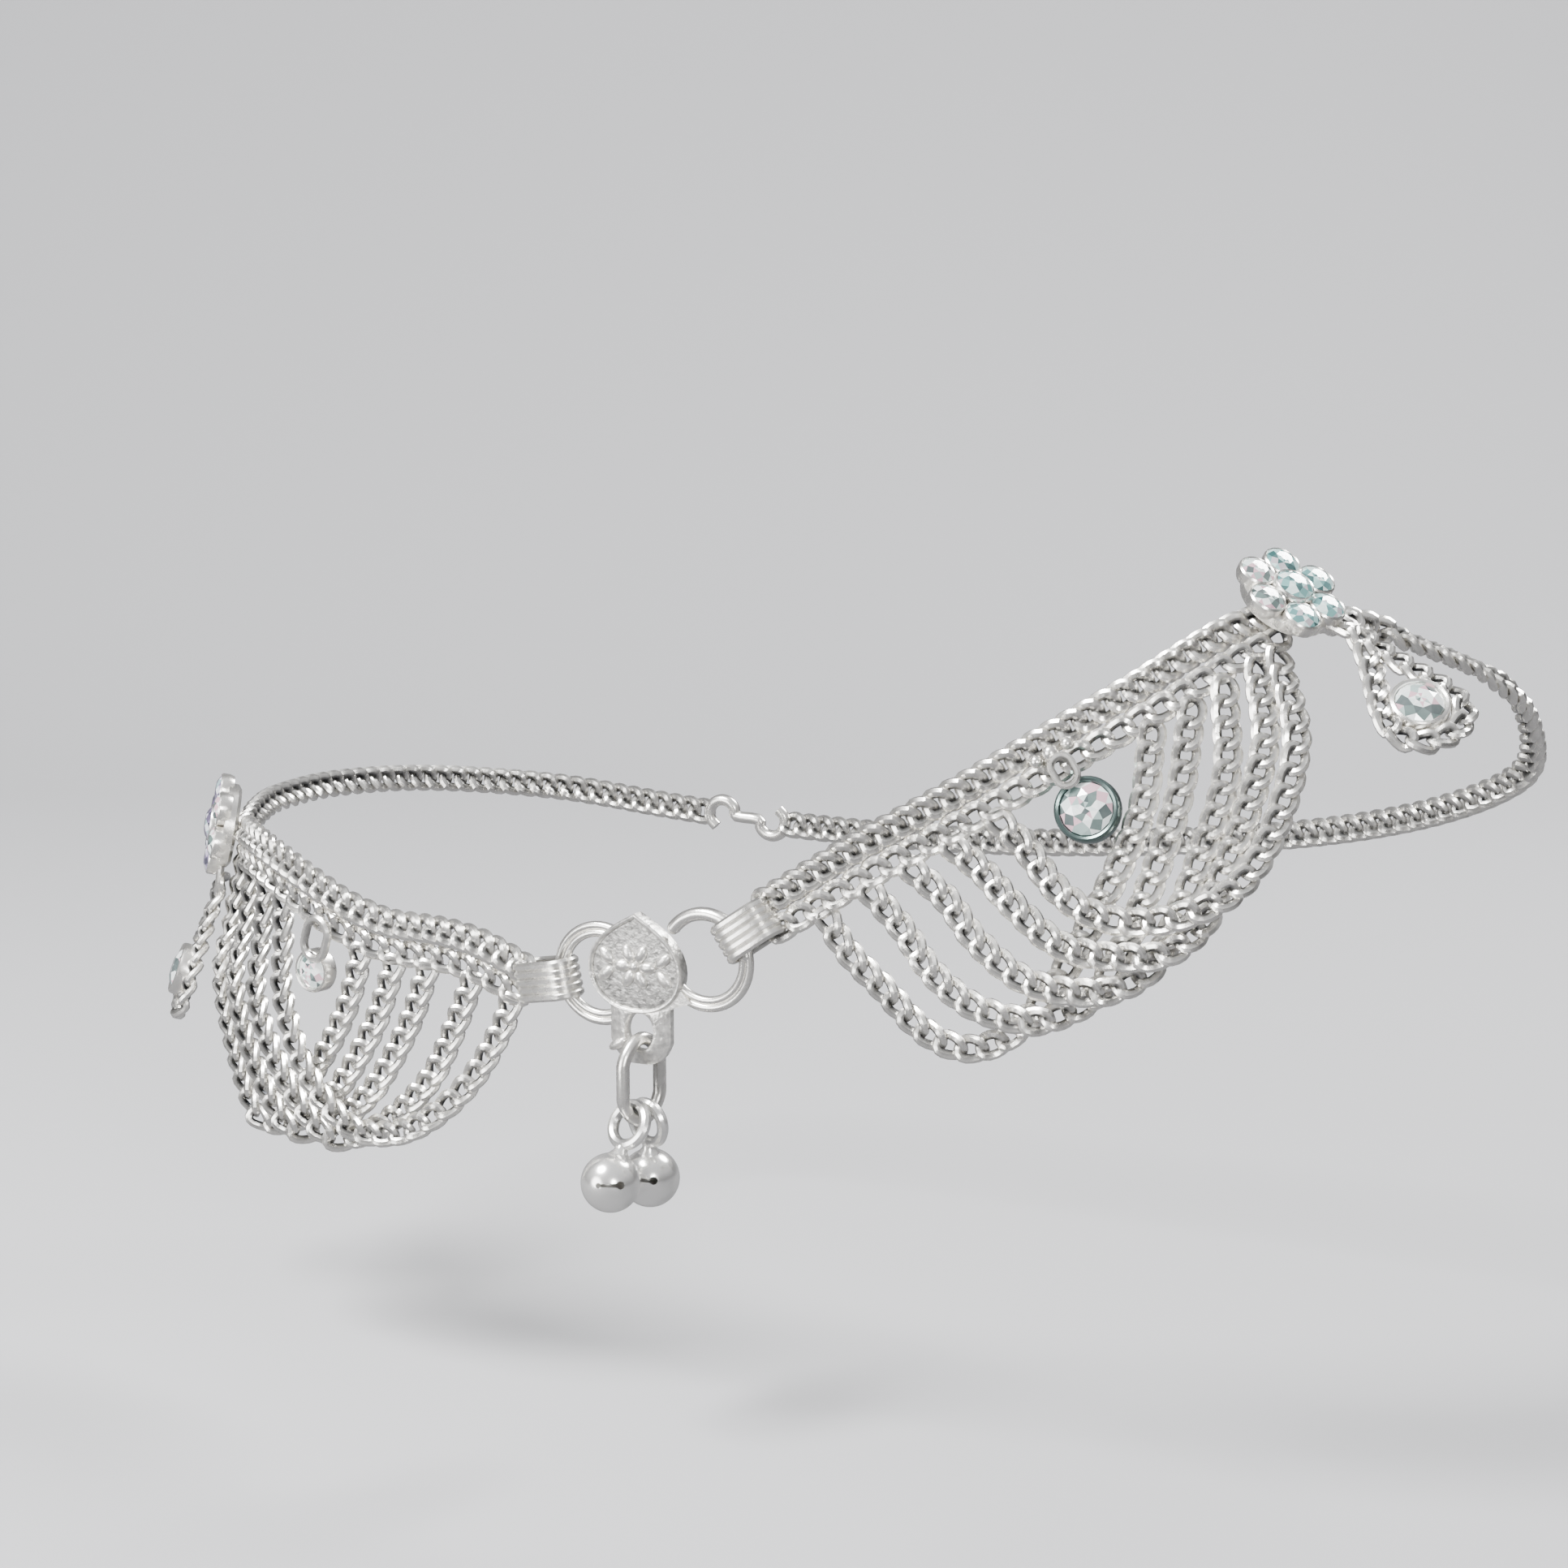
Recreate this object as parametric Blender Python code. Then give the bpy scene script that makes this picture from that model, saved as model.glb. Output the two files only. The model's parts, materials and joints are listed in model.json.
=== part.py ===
"""Payal anklet: a silver band with two draped festoons, a heart block with bells, two stone flowers.

Units are metres and +Z is up. The anklet keeps the form it has when worn. The origin is the middle of
the ankle opening at the heart's height, +X runs towards the toes and -Y faces the heart's side.
Places on the near side are given as (q, z): q is the distance along the ankle's side, from the heart
towards the toes, and z is the height. lift is the distance out from the ankle.
"""
import bpy
import bmesh
import math
from mathutils import Matrix, Vector

MM = 0.001

# Ankle form that the chains lie on
HEEL_CENTRE_X = -0.028
HEEL_RADIUS = 0.024
HEEL_SWELL = 0.0025
HEEL_SWELL_TOP = 0.004
HEEL_SWELL_DEPTH = 0.010
FLANK_EXTRA = 0.0024
FLANK_RUN = 0.040
SOLE_Z = -0.0306
RIDGE_LOW_Z = -0.0079
RIDGE_RISE = 0.002358
RIDGE_SHIFT = 0.0166
RIDGE_START_X = -0.0150
ROUNDNESS = 2.2
SLOPE_STEP = 0.0004

# Chains
SEAT_GAP = 0.0003
CHAIN_GAP = 0.00045
CHAIN_TUBE = 0.0015
CHAIN_LIFT = 0.0010
TUBE_STEP = 0.0036
BAND_WIDTH = 0.0024
BAND_THICKNESS = 0.0013
BAND_STEP = 0.0034
BAND_EDGE = 0.0003

# Heart block
HEART_LIFT = 0.0021
HEART_WIDTH = 0.0087
HEART_TIP = 0.0040
HEART_FOOT = 0.0043
HEART_THICKNESS = 0.0013
HEART_RIM = 0.00045
HEART_RIM_RISE = 0.00025
HEART_WIDEST = 0.16
HEART_UPPER_CURVE = [(0.42, 0.76), (1.0, 0.42)]
HEART_LOWER_CURVE = [(1.0, 0.68), (0.55, 1.0)]
ROSETTE_RADIUS = 0.0017
ROSETTE_RISE = 0.00035
ROSETTE_LOBES = 6
ROSETTE_WAVE = 0.18
ROSETTE_DROP = 0.12
LUG_WIRE = 0.00118
LEFT_LUG_X = -0.0036
LEFT_LUG_Z = -0.0015
LEFT_LUG_RADIUS = 0.0037
LEFT_LUG_ARC = (48, 312)
RIGHT_LUG_X = 0.00624
RIGHT_LUG_Z = 0.0008
RIGHT_LUG_RADIUS = 0.00372
RIGHT_LUG_ARC = (-148, 138)
TAB_HALF_WIDTH = 0.0028
TAB_THICKNESS = 0.0010
TAB_TOP = 0.7
TAB_FOOT = 0.35
TAB_SHOULDER = 0.75
EYE_X = 0.0003
EYE_WIDTH = 0.0025
EYE_HEIGHT = 0.0031
EYE_TOP = -0.0043
EYE_BAR = 0.0012
EYE_SIDES = 12

# Bell drop
JUMP_WIRE = 0.0010
JUMP_WIDTH = 0.0044
JUMP_HEIGHT = 0.0069
JUMP_TURN = math.radians(15)
JUMP_LIFT = 0.00015
BAIL_WIRE = 0.00078
BAIL_RADIUS = 0.0017
NECK_DIAMETER = 0.0013
NECK_LENGTH = 0.0004
OUTER_BAIL_AT = -0.0012
OUTER_BELL_TILT = math.radians(-29)
OUTER_BELL_SWAY = math.radians(2.5)
OUTER_BELL_FACE = math.radians(28)
INNER_BAIL_AT = 0.0007
INNER_BELL_TILT = math.radians(7)
INNER_BELL_SWAY = math.radians(-4.5)
INNER_BELL_FACE = math.radians(14)
BELL_DIAMETER = 0.0049
BELL_WALL = 0.00055
BELL_SLIT_LENGTH = 0.0022
BELL_SLIT_HOLE = 0.0008
BELL_SLIT_RISE = math.radians(11)
BELL_TURN = math.radians(7)

# End bundles
BUNDLE_WIRE = 0.0007
BUNDLE_LOOPS = 5
BUNDLE_PITCH = 0.00062
BUNDLE_WIDTH = 0.0027

# Stones and their settings
TOE_DROP_BEZEL = 0.0052
HEEL_DROP_BEZEL = 0.0040
BEZEL_HEIGHT = 0.0016
BEZEL_FOOT = 0.92
BEZEL_WALL = 0.15
STONE_FACETS = 12
STONE_RISE = 0.27
STONE_GIRDLE_RISE = 0.12
STONE_TABLE = 0.58
DROP_EYE_WIRE = 0.0006
DROP_EYE_RADIUS = 0.00085
DROP_LIFT = 0.0006
FLOWER_BASE_DIAMETER = 0.0074
FLOWER_BASE_THICKNESS = 0.0009
FLOWER_LIFT = 0.0023
TAB_WIDTH = 0.0016
PETALS = 6
PETAL_RING = 0.00315
PETAL_CUP = 0.0015
CUP_HEIGHT = 0.0008
CUP_SINK = 0.25
MIDDLE_CUP = 1.12
MIDDLE_CUP_HEIGHT = 1.5
PETAL_FACETS = 8

# Pendant loops of links
LINK_LENGTH = 0.0028
LINK_WIDTH = 0.0019
LINK_WIRE = 0.00058
LINK_TURN = math.radians(34)
LINK_TUBE = 0.0012
LOOP_LINKS = 18
LOOP_HALF_WIDTH = 0.0033
LOOP_FOOT = 0.0034
TEARDROP_POWER = 0.7
PENDANT_BEZEL = 0.0043

# Clasp on the hidden side
CLASP_WIRE = 0.0011
CLASP_LENGTH = 0.0090
CLASP_HALF_WIDTH = 0.0014
CLASP_CURL = 1.35

# Chosen route points, in millimetres: (q, z) on the near side
TOE_BAND = [(11.2, 5.9), (18.8, 10.9), (26.3, 15.5), (33.3, 20.1), (39.7, 24.4), (43.4, 27.2)]
TOE_CHAIN_TAIL = (45.6, 28.6)
HEEL_BAND = [(-11.9, -2.2), (-15.5, -0.9), (-20.0, -0.2), (-26.0, -0.1), (-30.2, 1.0), (-34.0, 2.4),
             (-38.0, 3.6), (-43.0, 4.4), (-48.0, 4.3), (-52.6, 3.4)]
HEEL_CHAIN_END = (-51.5, 0.0)
# Over the instep: (x, y)
INSTEP_BAND = [(46.2, -6.8), (50.8, -1.8), (55.0, 1.8), (59.0, 5.4), (60.8, 10.2)]
# Down and along the far side: (q, z)
FAR_BAND = [(60.2, 14.2), (56.5, 10.8), (48.0, 7.2), (36.0, 4.2), (20.0, 1.8), (4.0, 0.4), (-12.0, 0.2),
            (-26.0, 1.0), (-38.0, 2.2), (-50.0, 3.4), (-60.0, 4.2)]
HEEL_TURN = [(-63.0, 4.4), (-58.0, 4.0), (-53.3, 3.4)]
CLASP_AT = -19.0
# Strands: heart end and flower end as q on the lower chain, and chosen points between (q, z, lift)
TOE_STRANDS = [
    (16.6, 40.4, [(18.4, 2.5, 1.2), (21.7, -0.2, 1.2), (25.2, -3.1, 1.1), (28.8, -4.1, 0.9),
                  (32.3, -2.6, 0.8), (35.8, 1.8, 0.8), (38.9, 8.7, 0.8), (40.7, 14.8, 0.9)]),
    (20.2, 42.9, [(22.9, 4.7, 1.2), (26.2, 1.6, 2.4), (30.2, -0.6, 3.0), (34.6, -1.2, 3.0), (36.5, -0.7, 2.0),
                  (38.2, 0.4, 0.9), (39.6, 2.2, 0.8), (41.9, 8.2, 0.8), (43.3, 15.6, 0.9)]),
    (23.5, 44.8, [(26.5, 7.1, 1.2), (29.6, 4.3, 2.4), (34.2, 1.7, 3.0), (39.3, 1.3, 3.0), (41.5, 2.0, 2.0),
                  (42.9, 3.2, 0.9), (44.0, 5.2, 0.8), (45.6, 10.9, 0.8), (46.5, 17.4, 0.9)]),
    (26.7, 46.6, [(29.3, 9.4, 1.2), (32.2, 7.2, 2.4), (37.0, 4.4, 3.0), (43.5, 4.2, 3.0), (45.7, 5.4, 2.1),
                  (46.9, 7.2, 1.0), (47.4, 9.6, 0.8), (48.5, 14.6, 0.9), (48.7, 19.8, 0.9)]),
    (30.1, 48.0, [(32.5, 11.3, 1.2), (35.5, 8.6, 2.4), (39.0, 6.9, 3.0), (43.0, 6.7, 3.0), (47.4, 8.0, 3.0),
                  (49.8, 10.6, 1.6), (51.1, 15.2, 1.0), (50.8, 20.2, 1.0)]),
]
HEEL_STRANDS = [
    (-13.4, -38.2, [(-14.6, -8.6, 1.0), (-17.4, -13.0, 1.6), (-20.6, -16.2, 2.9), (-24.6, -18.0, 3.0),
                    (-29.0, -17.9, 3.0), (-33.2, -13.9, 3.0), (-36.2, -8.0, 2.6), (-37.6, -4.0, 1.4)]),
    (-17.4, -41.2, [(-19.0, -8.0, 0.8), (-21.5, -12.8, 0.8), (-24.8, -16.4, 0.8), (-28.2, -18.8, 0.8),
                    (-29.8, -19.3, 1.7), (-31.3, -19.2, 2.9), (-35.4, -15.4, 3.0), (-39.4, -9.2, 2.8),
                    (-41.0, -4.4, 1.4)]),
    (-22.0, -44.6, [(-23.9, -8.6, 0.8), (-27.0, -13.8, 0.8), (-29.9, -17.0, 0.8), (-32.8, -19.1, 0.8),
                    (-34.1, -19.5, 1.7), (-35.6, -19.2, 2.9), (-39.6, -14.6, 3.0), (-43.0, -8.6, 2.8),
                    (-44.4, -4.2, 1.4)]),
    (-25.5, -47.8, [(-27.4, -8.6, 0.8), (-30.4, -13.8, 0.8), (-33.6, -17.4, 0.8), (-36.9, -19.3, 0.9),
                    (-38.3, -19.7, 1.9), (-39.8, -19.1, 2.9), (-43.3, -13.8, 3.0), (-46.4, -7.8, 2.8),
                    (-47.6, -3.8, 1.4)]),
    (-29.0, -50.8, [(-29.6, -5.6, 0.9), (-31.0, -9.0, 0.8), (-33.6, -13.2, 0.8), (-37.2, -16.9, 0.8),
                    (-42.6, -17.6, 0.8), (-46.8, -13.0, 1.2), (-49.6, -7.4, 1.2), (-50.6, -3.4, 1.2)]),
]
TOE_STONE = (36.7, 14.6)
HEEL_STONE = (-33.4, -5.2)
TOE_PENDANT_STONE = (58.4, -8.6, 1.9)
TOE_PENDANT_TOP = (51.7, -5.5, 2.4)
HEEL_PENDANT_STONE = (-52.0, -9.4, 4.6)
HEEL_PENDANT_TOP = (-52.0, -2.8, 2.6)


def clamp(value, low, high):
    """Limit a value to a range."""
    return max(low, min(high, value))


def ridge_height(x):
    """Height of the instep's ridge above the point x."""
    return RIDGE_LOW_Z + RIDGE_RISE / (x + RIDGE_SHIFT)


def flank_width(x):
    """Half width of the ankle at its widest, at x."""
    return HEEL_RADIUS + FLANK_EXTRA * clamp((x - HEEL_CENTRE_X) / FLANK_RUN, 0.0, 1.0)


def half_width(x, z):
    """Half width of the ankle at x and height z, negative above the instep."""
    if x <= RIDGE_START_X:
        ridge = 10 * HEEL_RADIUS
    else:
        ridge = ridge_height(x)
    if z >= ridge:
        return ridge - z
    share = max(0.0, (z - SOLE_Z) / (ridge - SOLE_Z))
    return flank_width(x) * (1 - share ** ROUNDNESS) ** (1 / ROUNDNESS)


def heel_reach(z, angle):
    """Radius of the heel at height z, seen at an angle from its side."""
    swell = HEEL_SWELL * clamp((HEEL_SWELL_TOP - z) / HEEL_SWELL_DEPTH, 0.0, 1.0)
    return HEEL_RADIUS + swell * math.sin(angle) ** 2


def outside(point):
    """Distance of a point from the ankle form, roughly, positive outside."""
    x, y, z = point
    if x >= HEEL_CENTRE_X:
        return abs(y) - half_width(x, z)
    angle = math.atan2(HEEL_CENTRE_X - x, abs(y))
    return math.hypot(x - HEEL_CENTRE_X, y) - heel_reach(z, angle)


def outward(point):
    """Unit vector out from the ankle at a point."""
    slopes = []
    for axis in range(3):
        ahead = Vector(point)
        behind = Vector(point)
        ahead[axis] += SLOPE_STEP
        behind[axis] -= SLOPE_STEP
        slopes.append(outside(ahead) - outside(behind))
    return Vector(slopes).normalized()


def on_side(q, z, lift, side=-1):
    """Point at (q, z) in millimetres on the ankle's side, lifted by a distance in millimetres."""
    q, z, lift = q * MM, z * MM, lift * MM
    if q >= HEEL_CENTRE_X:
        foot = Vector((q, side * max(half_width(q, z), 0.0001), z))
    else:
        angle = (HEEL_CENTRE_X - q) / HEEL_RADIUS
        reach = heel_reach(z, angle)
        foot = Vector((HEEL_CENTRE_X - reach * math.sin(angle), side * reach * math.cos(angle), z))
    return foot + outward(foot) * lift


def on_top(x, y, lift):
    """Point over (x, y) in millimetres on the instep, lifted by a distance in millimetres."""
    x, y = x * MM, y * MM
    share = (1 - (abs(y) / flank_width(x)) ** ROUNDNESS) ** (1 / ROUNDNESS)
    foot = Vector((x, y, SOLE_Z + (ridge_height(x) - SOLE_Z) * share))
    return foot + outward(foot) * lift * MM


def spline(points, pieces=16):
    """Smooth curve through points, as a dense list."""
    ends = [2 * points[0] - points[1]] + list(points) + [2 * points[-1] - points[-2]]
    dense = []
    for a, b, c, d in zip(ends, ends[1:], ends[2:], ends[3:]):
        for i in range(pieces):
            t = i / pieces
            dense.append(0.5 * (2 * b + (c - a) * t + (2 * a - 5 * b + 4 * c - d) * t ** 2
                                + (3 * b - a - 3 * c + d) * t ** 3))
    dense.append(points[-1])
    return dense


def polyline_length(points):
    """Length of a polyline."""
    return sum((b - a).length for a, b in zip(points, points[1:]))


def resample(points, step):
    """Evenly spaced points along a polyline, close to step apart."""
    total = polyline_length(points)
    count = max(2, round(total / step) + 1)
    spaced = [points[0].copy()]
    travelled = 0.0
    target = total / (count - 1)
    for a, b in zip(points, points[1:]):
        reach = (b - a).length
        while len(spaced) < count - 1 and travelled + reach >= target * len(spaced):
            spaced.append(a.lerp(b, (target * len(spaced) - travelled) / reach))
        travelled += reach
    spaced.append(points[-1].copy())
    return spaced


def material(name, colour, roughness, metallic):
    """Principled material."""
    made = bpy.data.materials.new(name)
    made.use_nodes = True
    shader = made.node_tree.nodes["Principled BSDF"]
    shader.inputs["Base Color"].default_value = (*colour, 1.0)
    shader.inputs["Roughness"].default_value = roughness
    shader.inputs["Metallic"].default_value = metallic
    return made


def mesh_object(name, bm, finish, smooth_angle=None):
    """Object from a bmesh, with its normals recalculated."""
    bmesh.ops.recalc_face_normals(bm, faces=bm.faces)
    mesh = bpy.data.meshes.new(name)
    bm.to_mesh(mesh)
    bm.free()
    mesh.materials.append(finish)
    if smooth_angle is not None:
        mesh.shade_smooth()
        mesh.set_sharp_from_angle(angle=smooth_angle)
    made = bpy.data.objects.new(name, mesh)
    bpy.context.scene.collection.objects.link(made)
    return made


def boolean(base, other, operation):
    """Join or cut one object with another, and drop the other."""
    step = base.modifiers.new(operation.title(), "BOOLEAN")
    step.operation = operation
    step.solver = "EXACT"
    step.object = other
    bpy.context.view_layer.update()
    graph = bpy.context.evaluated_depsgraph_get()
    result = bpy.data.meshes.new_from_object(base.evaluated_get(graph))
    base.modifiers.clear()
    old = base.data
    base.data = result
    bpy.data.meshes.remove(old)
    bpy.data.objects.remove(other)
    return base


def union(parts, name):
    """Fuse a list of objects into one."""
    base = parts[0]
    for part in parts[1:]:
        boolean(base, part, "UNION")
    base.name = name
    base.data.name = name
    return base


def frame(centre, along, out):
    """Matrix whose X runs along, Z points out, at a centre."""
    x = along.normalized()
    z = (out - x * out.dot(x)).normalized()
    y = z.cross(x)
    return Matrix.Translation(centre) @ Matrix((x, y, z)).transposed().to_4x4()


def add_ring(bm, centres, normals, radius, sides, closed):
    """Sweep a round section along centres, each with a binormal, and close or cap it."""
    count = len(centres)
    rings = []
    for i in range(count):
        ahead = centres[(i + 1) % count] if closed or i < count - 1 else centres[i]
        behind = centres[i - 1] if closed or i > 0 else centres[i]
        tangent = (ahead - behind).normalized()
        side = tangent.cross(normals[i]).normalized()
        up = side.cross(tangent)
        ring = []
        for k in range(sides):
            angle = 2 * math.pi * (k + 0.5) / sides
            ring.append(bm.verts.new(centres[i] + (side * math.cos(angle) + up * math.sin(angle)) * radius))
        rings.append(ring)
    spans = count if closed else count - 1
    for i in range(spans):
        a, b = rings[i], rings[(i + 1) % count]
        for k in range(sides):
            bm.faces.new((a[k], a[(k + 1) % sides], b[(k + 1) % sides], b[k]))
    if not closed:
        bm.faces.new(rings[0])
        bm.faces.new(rings[-1])


def add_oval(bm, place, length, width, wire, segments, sides):
    """Add an oval wire link lying in the X-Y plane of a matrix, its long way along X."""
    straight = (length - width) / 2
    centres = []
    for i in range(segments):
        angle = 2 * math.pi * (i + 0.5) / segments
        shift = straight if math.cos(angle) > 0 else -straight
        centres.append(place @ Vector((shift + width / 2 * math.cos(angle), width / 2 * math.sin(angle), 0)))
    normal = place.to_3x3() @ Vector((0, 0, 1))
    add_ring(bm, centres, [normal] * segments, wire / 2, sides, True)


def add_prism(bm, outline, low, high, place):
    """Add a prism of an outline in X-Y from low to high in Z."""
    bottom = [bm.verts.new(place @ Vector((x, y, low))) for x, y in outline]
    top = [bm.verts.new(place @ Vector((x, y, high))) for x, y in outline]
    bm.faces.new(list(reversed(bottom)))
    bm.faces.new(top)
    count = len(outline)
    for i in range(count):
        j = (i + 1) % count
        bm.faces.new((bottom[i], bottom[j], top[j], top[i]))


def add_frustum(bm, radii_heights, facets, place, turn=0.0):
    """Add a turned solid from (radius, height) pairs, capped at both ends."""
    rings = []
    for radius, height in radii_heights:
        ring = []
        for k in range(facets):
            angle = 2 * math.pi * k / facets + turn
            corner = Vector((radius * math.cos(angle), radius * math.sin(angle), height))
            ring.append(bm.verts.new(place @ corner))
        rings.append(ring)
    bm.faces.new(rings[0])
    bm.faces.new(rings[-1])
    for a, b in zip(rings, rings[1:]):
        for k in range(facets):
            bm.faces.new((a[k], a[(k + 1) % facets], b[(k + 1) % facets], b[k]))


def solid(name, build, finish, smooth_angle=None):
    """Object whose mesh a build function fills."""
    bm = bmesh.new()
    build(bm)
    return mesh_object(name, bm, finish, smooth_angle)


def tube(name, points, diameter, finish):
    """Round tube along points, as a curve with filled caps."""
    curve = bpy.data.curves.new(name, "CURVE")
    curve.dimensions = "3D"
    curve.bevel_depth = diameter / 2
    curve.bevel_resolution = 2
    curve.use_fill_caps = True
    route = curve.splines.new("POLY")
    route.points.add(len(points) - 1)
    for spot, point in zip(route.points, points):
        spot.co = (*point, 1.0)
    curve.materials.append(finish)
    made = bpy.data.objects.new(name, curve)
    bpy.context.scene.collection.objects.link(made)
    return made


def band(name, points, finish):
    """Flat woven band along points, with bevelled edges, lying on the ankle form."""
    spaced = resample(points, BAND_STEP)
    half, thick, edge = BAND_WIDTH / 2, BAND_THICKNESS / 2, BAND_EDGE
    section = [(half, -thick + edge), (half, thick - edge), (half - edge, thick), (-half + edge, thick),
               (-half, thick - edge), (-half, -thick + edge), (-half + edge, -thick), (half - edge, -thick)]
    bm = bmesh.new()
    rings = []
    for i, point in enumerate(spaced):
        ahead = spaced[min(i + 1, len(spaced) - 1)]
        behind = spaced[max(i - 1, 0)]
        tangent = (ahead - behind).normalized()
        out = outward(point)
        out = (out - tangent * out.dot(tangent)).normalized()
        side = tangent.cross(out)
        rings.append([bm.verts.new(point + side * u + out * v) for u, v in section])
    count = len(section)
    for a, b in zip(rings, rings[1:]):
        for k in range(count):
            bm.faces.new((a[k], a[(k + 1) % count], b[(k + 1) % count], b[k]))
    bm.faces.new(rings[0])
    bm.faces.new(rings[-1])
    return mesh_object(name, bm, finish)


def side_route(chosen, drop=0.0):
    """Dense (q, z) route through chosen points, moved down across itself by drop."""
    dense = spline([Vector((q, z)) for q, z in chosen])
    moved = []
    for i, spot in enumerate(dense):
        run = (dense[min(i + 1, len(dense) - 1)] - dense[max(i - 1, 0)]).normalized()
        down = Vector((run.y, -run.x)) if run.x > 0 else Vector((-run.y, run.x))
        moved.append(spot + down * drop / MM)
    return moved


def at_q(route, q):
    """Point of a (q, z) route at a given q."""
    for a, b in zip(route, route[1:]):
        if (a.x - q) * (b.x - q) <= 0 and a.x != b.x:
            return a.lerp(b, (q - a.x) / (b.x - a.x))
    return route[0] if abs(route[0].x - q) < abs(route[-1].x - q) else route[-1]


def lower_chain_route(chosen):
    """Route of the lower chain, seated under its band."""
    return side_route(chosen, (BAND_WIDTH + CHAIN_TUBE) / 2 + CHAIN_GAP)


def hang_route(chosen):
    """Route of the points where strands start, seated under the lower chain."""
    return side_route(chosen, (BAND_WIDTH + CHAIN_TUBE) / 2 + CHAIN_TUBE + 2 * CHAIN_GAP)


def strand_points(hang, heart_q, flower_q, between):
    """Route of one strand, as points on the form."""
    start = at_q(hang, heart_q)
    end = at_q(hang, flower_q)
    lift = CHAIN_LIFT / MM
    chosen = [Vector((start.x, start.y, lift))]
    chosen += [Vector(spot) for spot in between]
    chosen.append(Vector((end.x, end.y, lift)))
    return [on_side(*spot) for spot in spline(chosen)]


def bezier(a, b, c, d, count):
    """Points of a cubic curve from a towards d, without d."""
    points = []
    for i in range(count):
        t = i / count
        s = 1 - t
        points.append(a * s ** 3 + b * 3 * s ** 2 * t + c * 3 * s * t ** 2 + d * t ** 3)
    return points


def heart_outline():
    """Leaf outline of the heart plate: pointed at the top, round at the foot."""
    half = HEART_WIDTH / 2
    tip = Vector((0, HEART_TIP))
    waist = Vector((half, -HEART_WIDEST * HEART_FOOT))
    foot = Vector((0, -HEART_FOOT))
    upper = [Vector((u * half, v * HEART_TIP)) for u, v in HEART_UPPER_CURVE]
    lower = [Vector((u * half, -v * HEART_FOOT)) for u, v in HEART_LOWER_CURVE]
    right = bezier(tip, upper[0], upper[1], waist, 7)
    right += bezier(waist, lower[0], lower[1], foot, 6)
    left = [Vector((-p.x, p.y)) for p in reversed(right[1:])]
    return [(p.x, p.y) for p in right + [foot] + left]


def arc_wire(bm, place, centre, radius, wire, arc, segments):
    """Add an arc of round wire in the X-Y plane of a matrix, from and to angles in degrees."""
    centres = []
    for i in range(segments + 1):
        angle = math.radians(arc[0] + (arc[1] - arc[0]) * i / segments)
        centres.append(place @ Vector((centre[0] + radius * math.cos(angle),
                                       centre[1] + radius * math.sin(angle), 0)))
    normal = place.to_3x3() @ Vector((0, 0, 1))
    add_ring(bm, centres, [normal] * (segments + 1), wire / 2, 8, False)


def heart_place():
    """Matrix of the heart block: X along the band, Y up, Z out."""
    centre = on_side(0, 0, HEART_LIFT / MM)
    return frame(centre, Vector((1, 0, 0)), Vector((0, -1, 0)))


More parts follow.
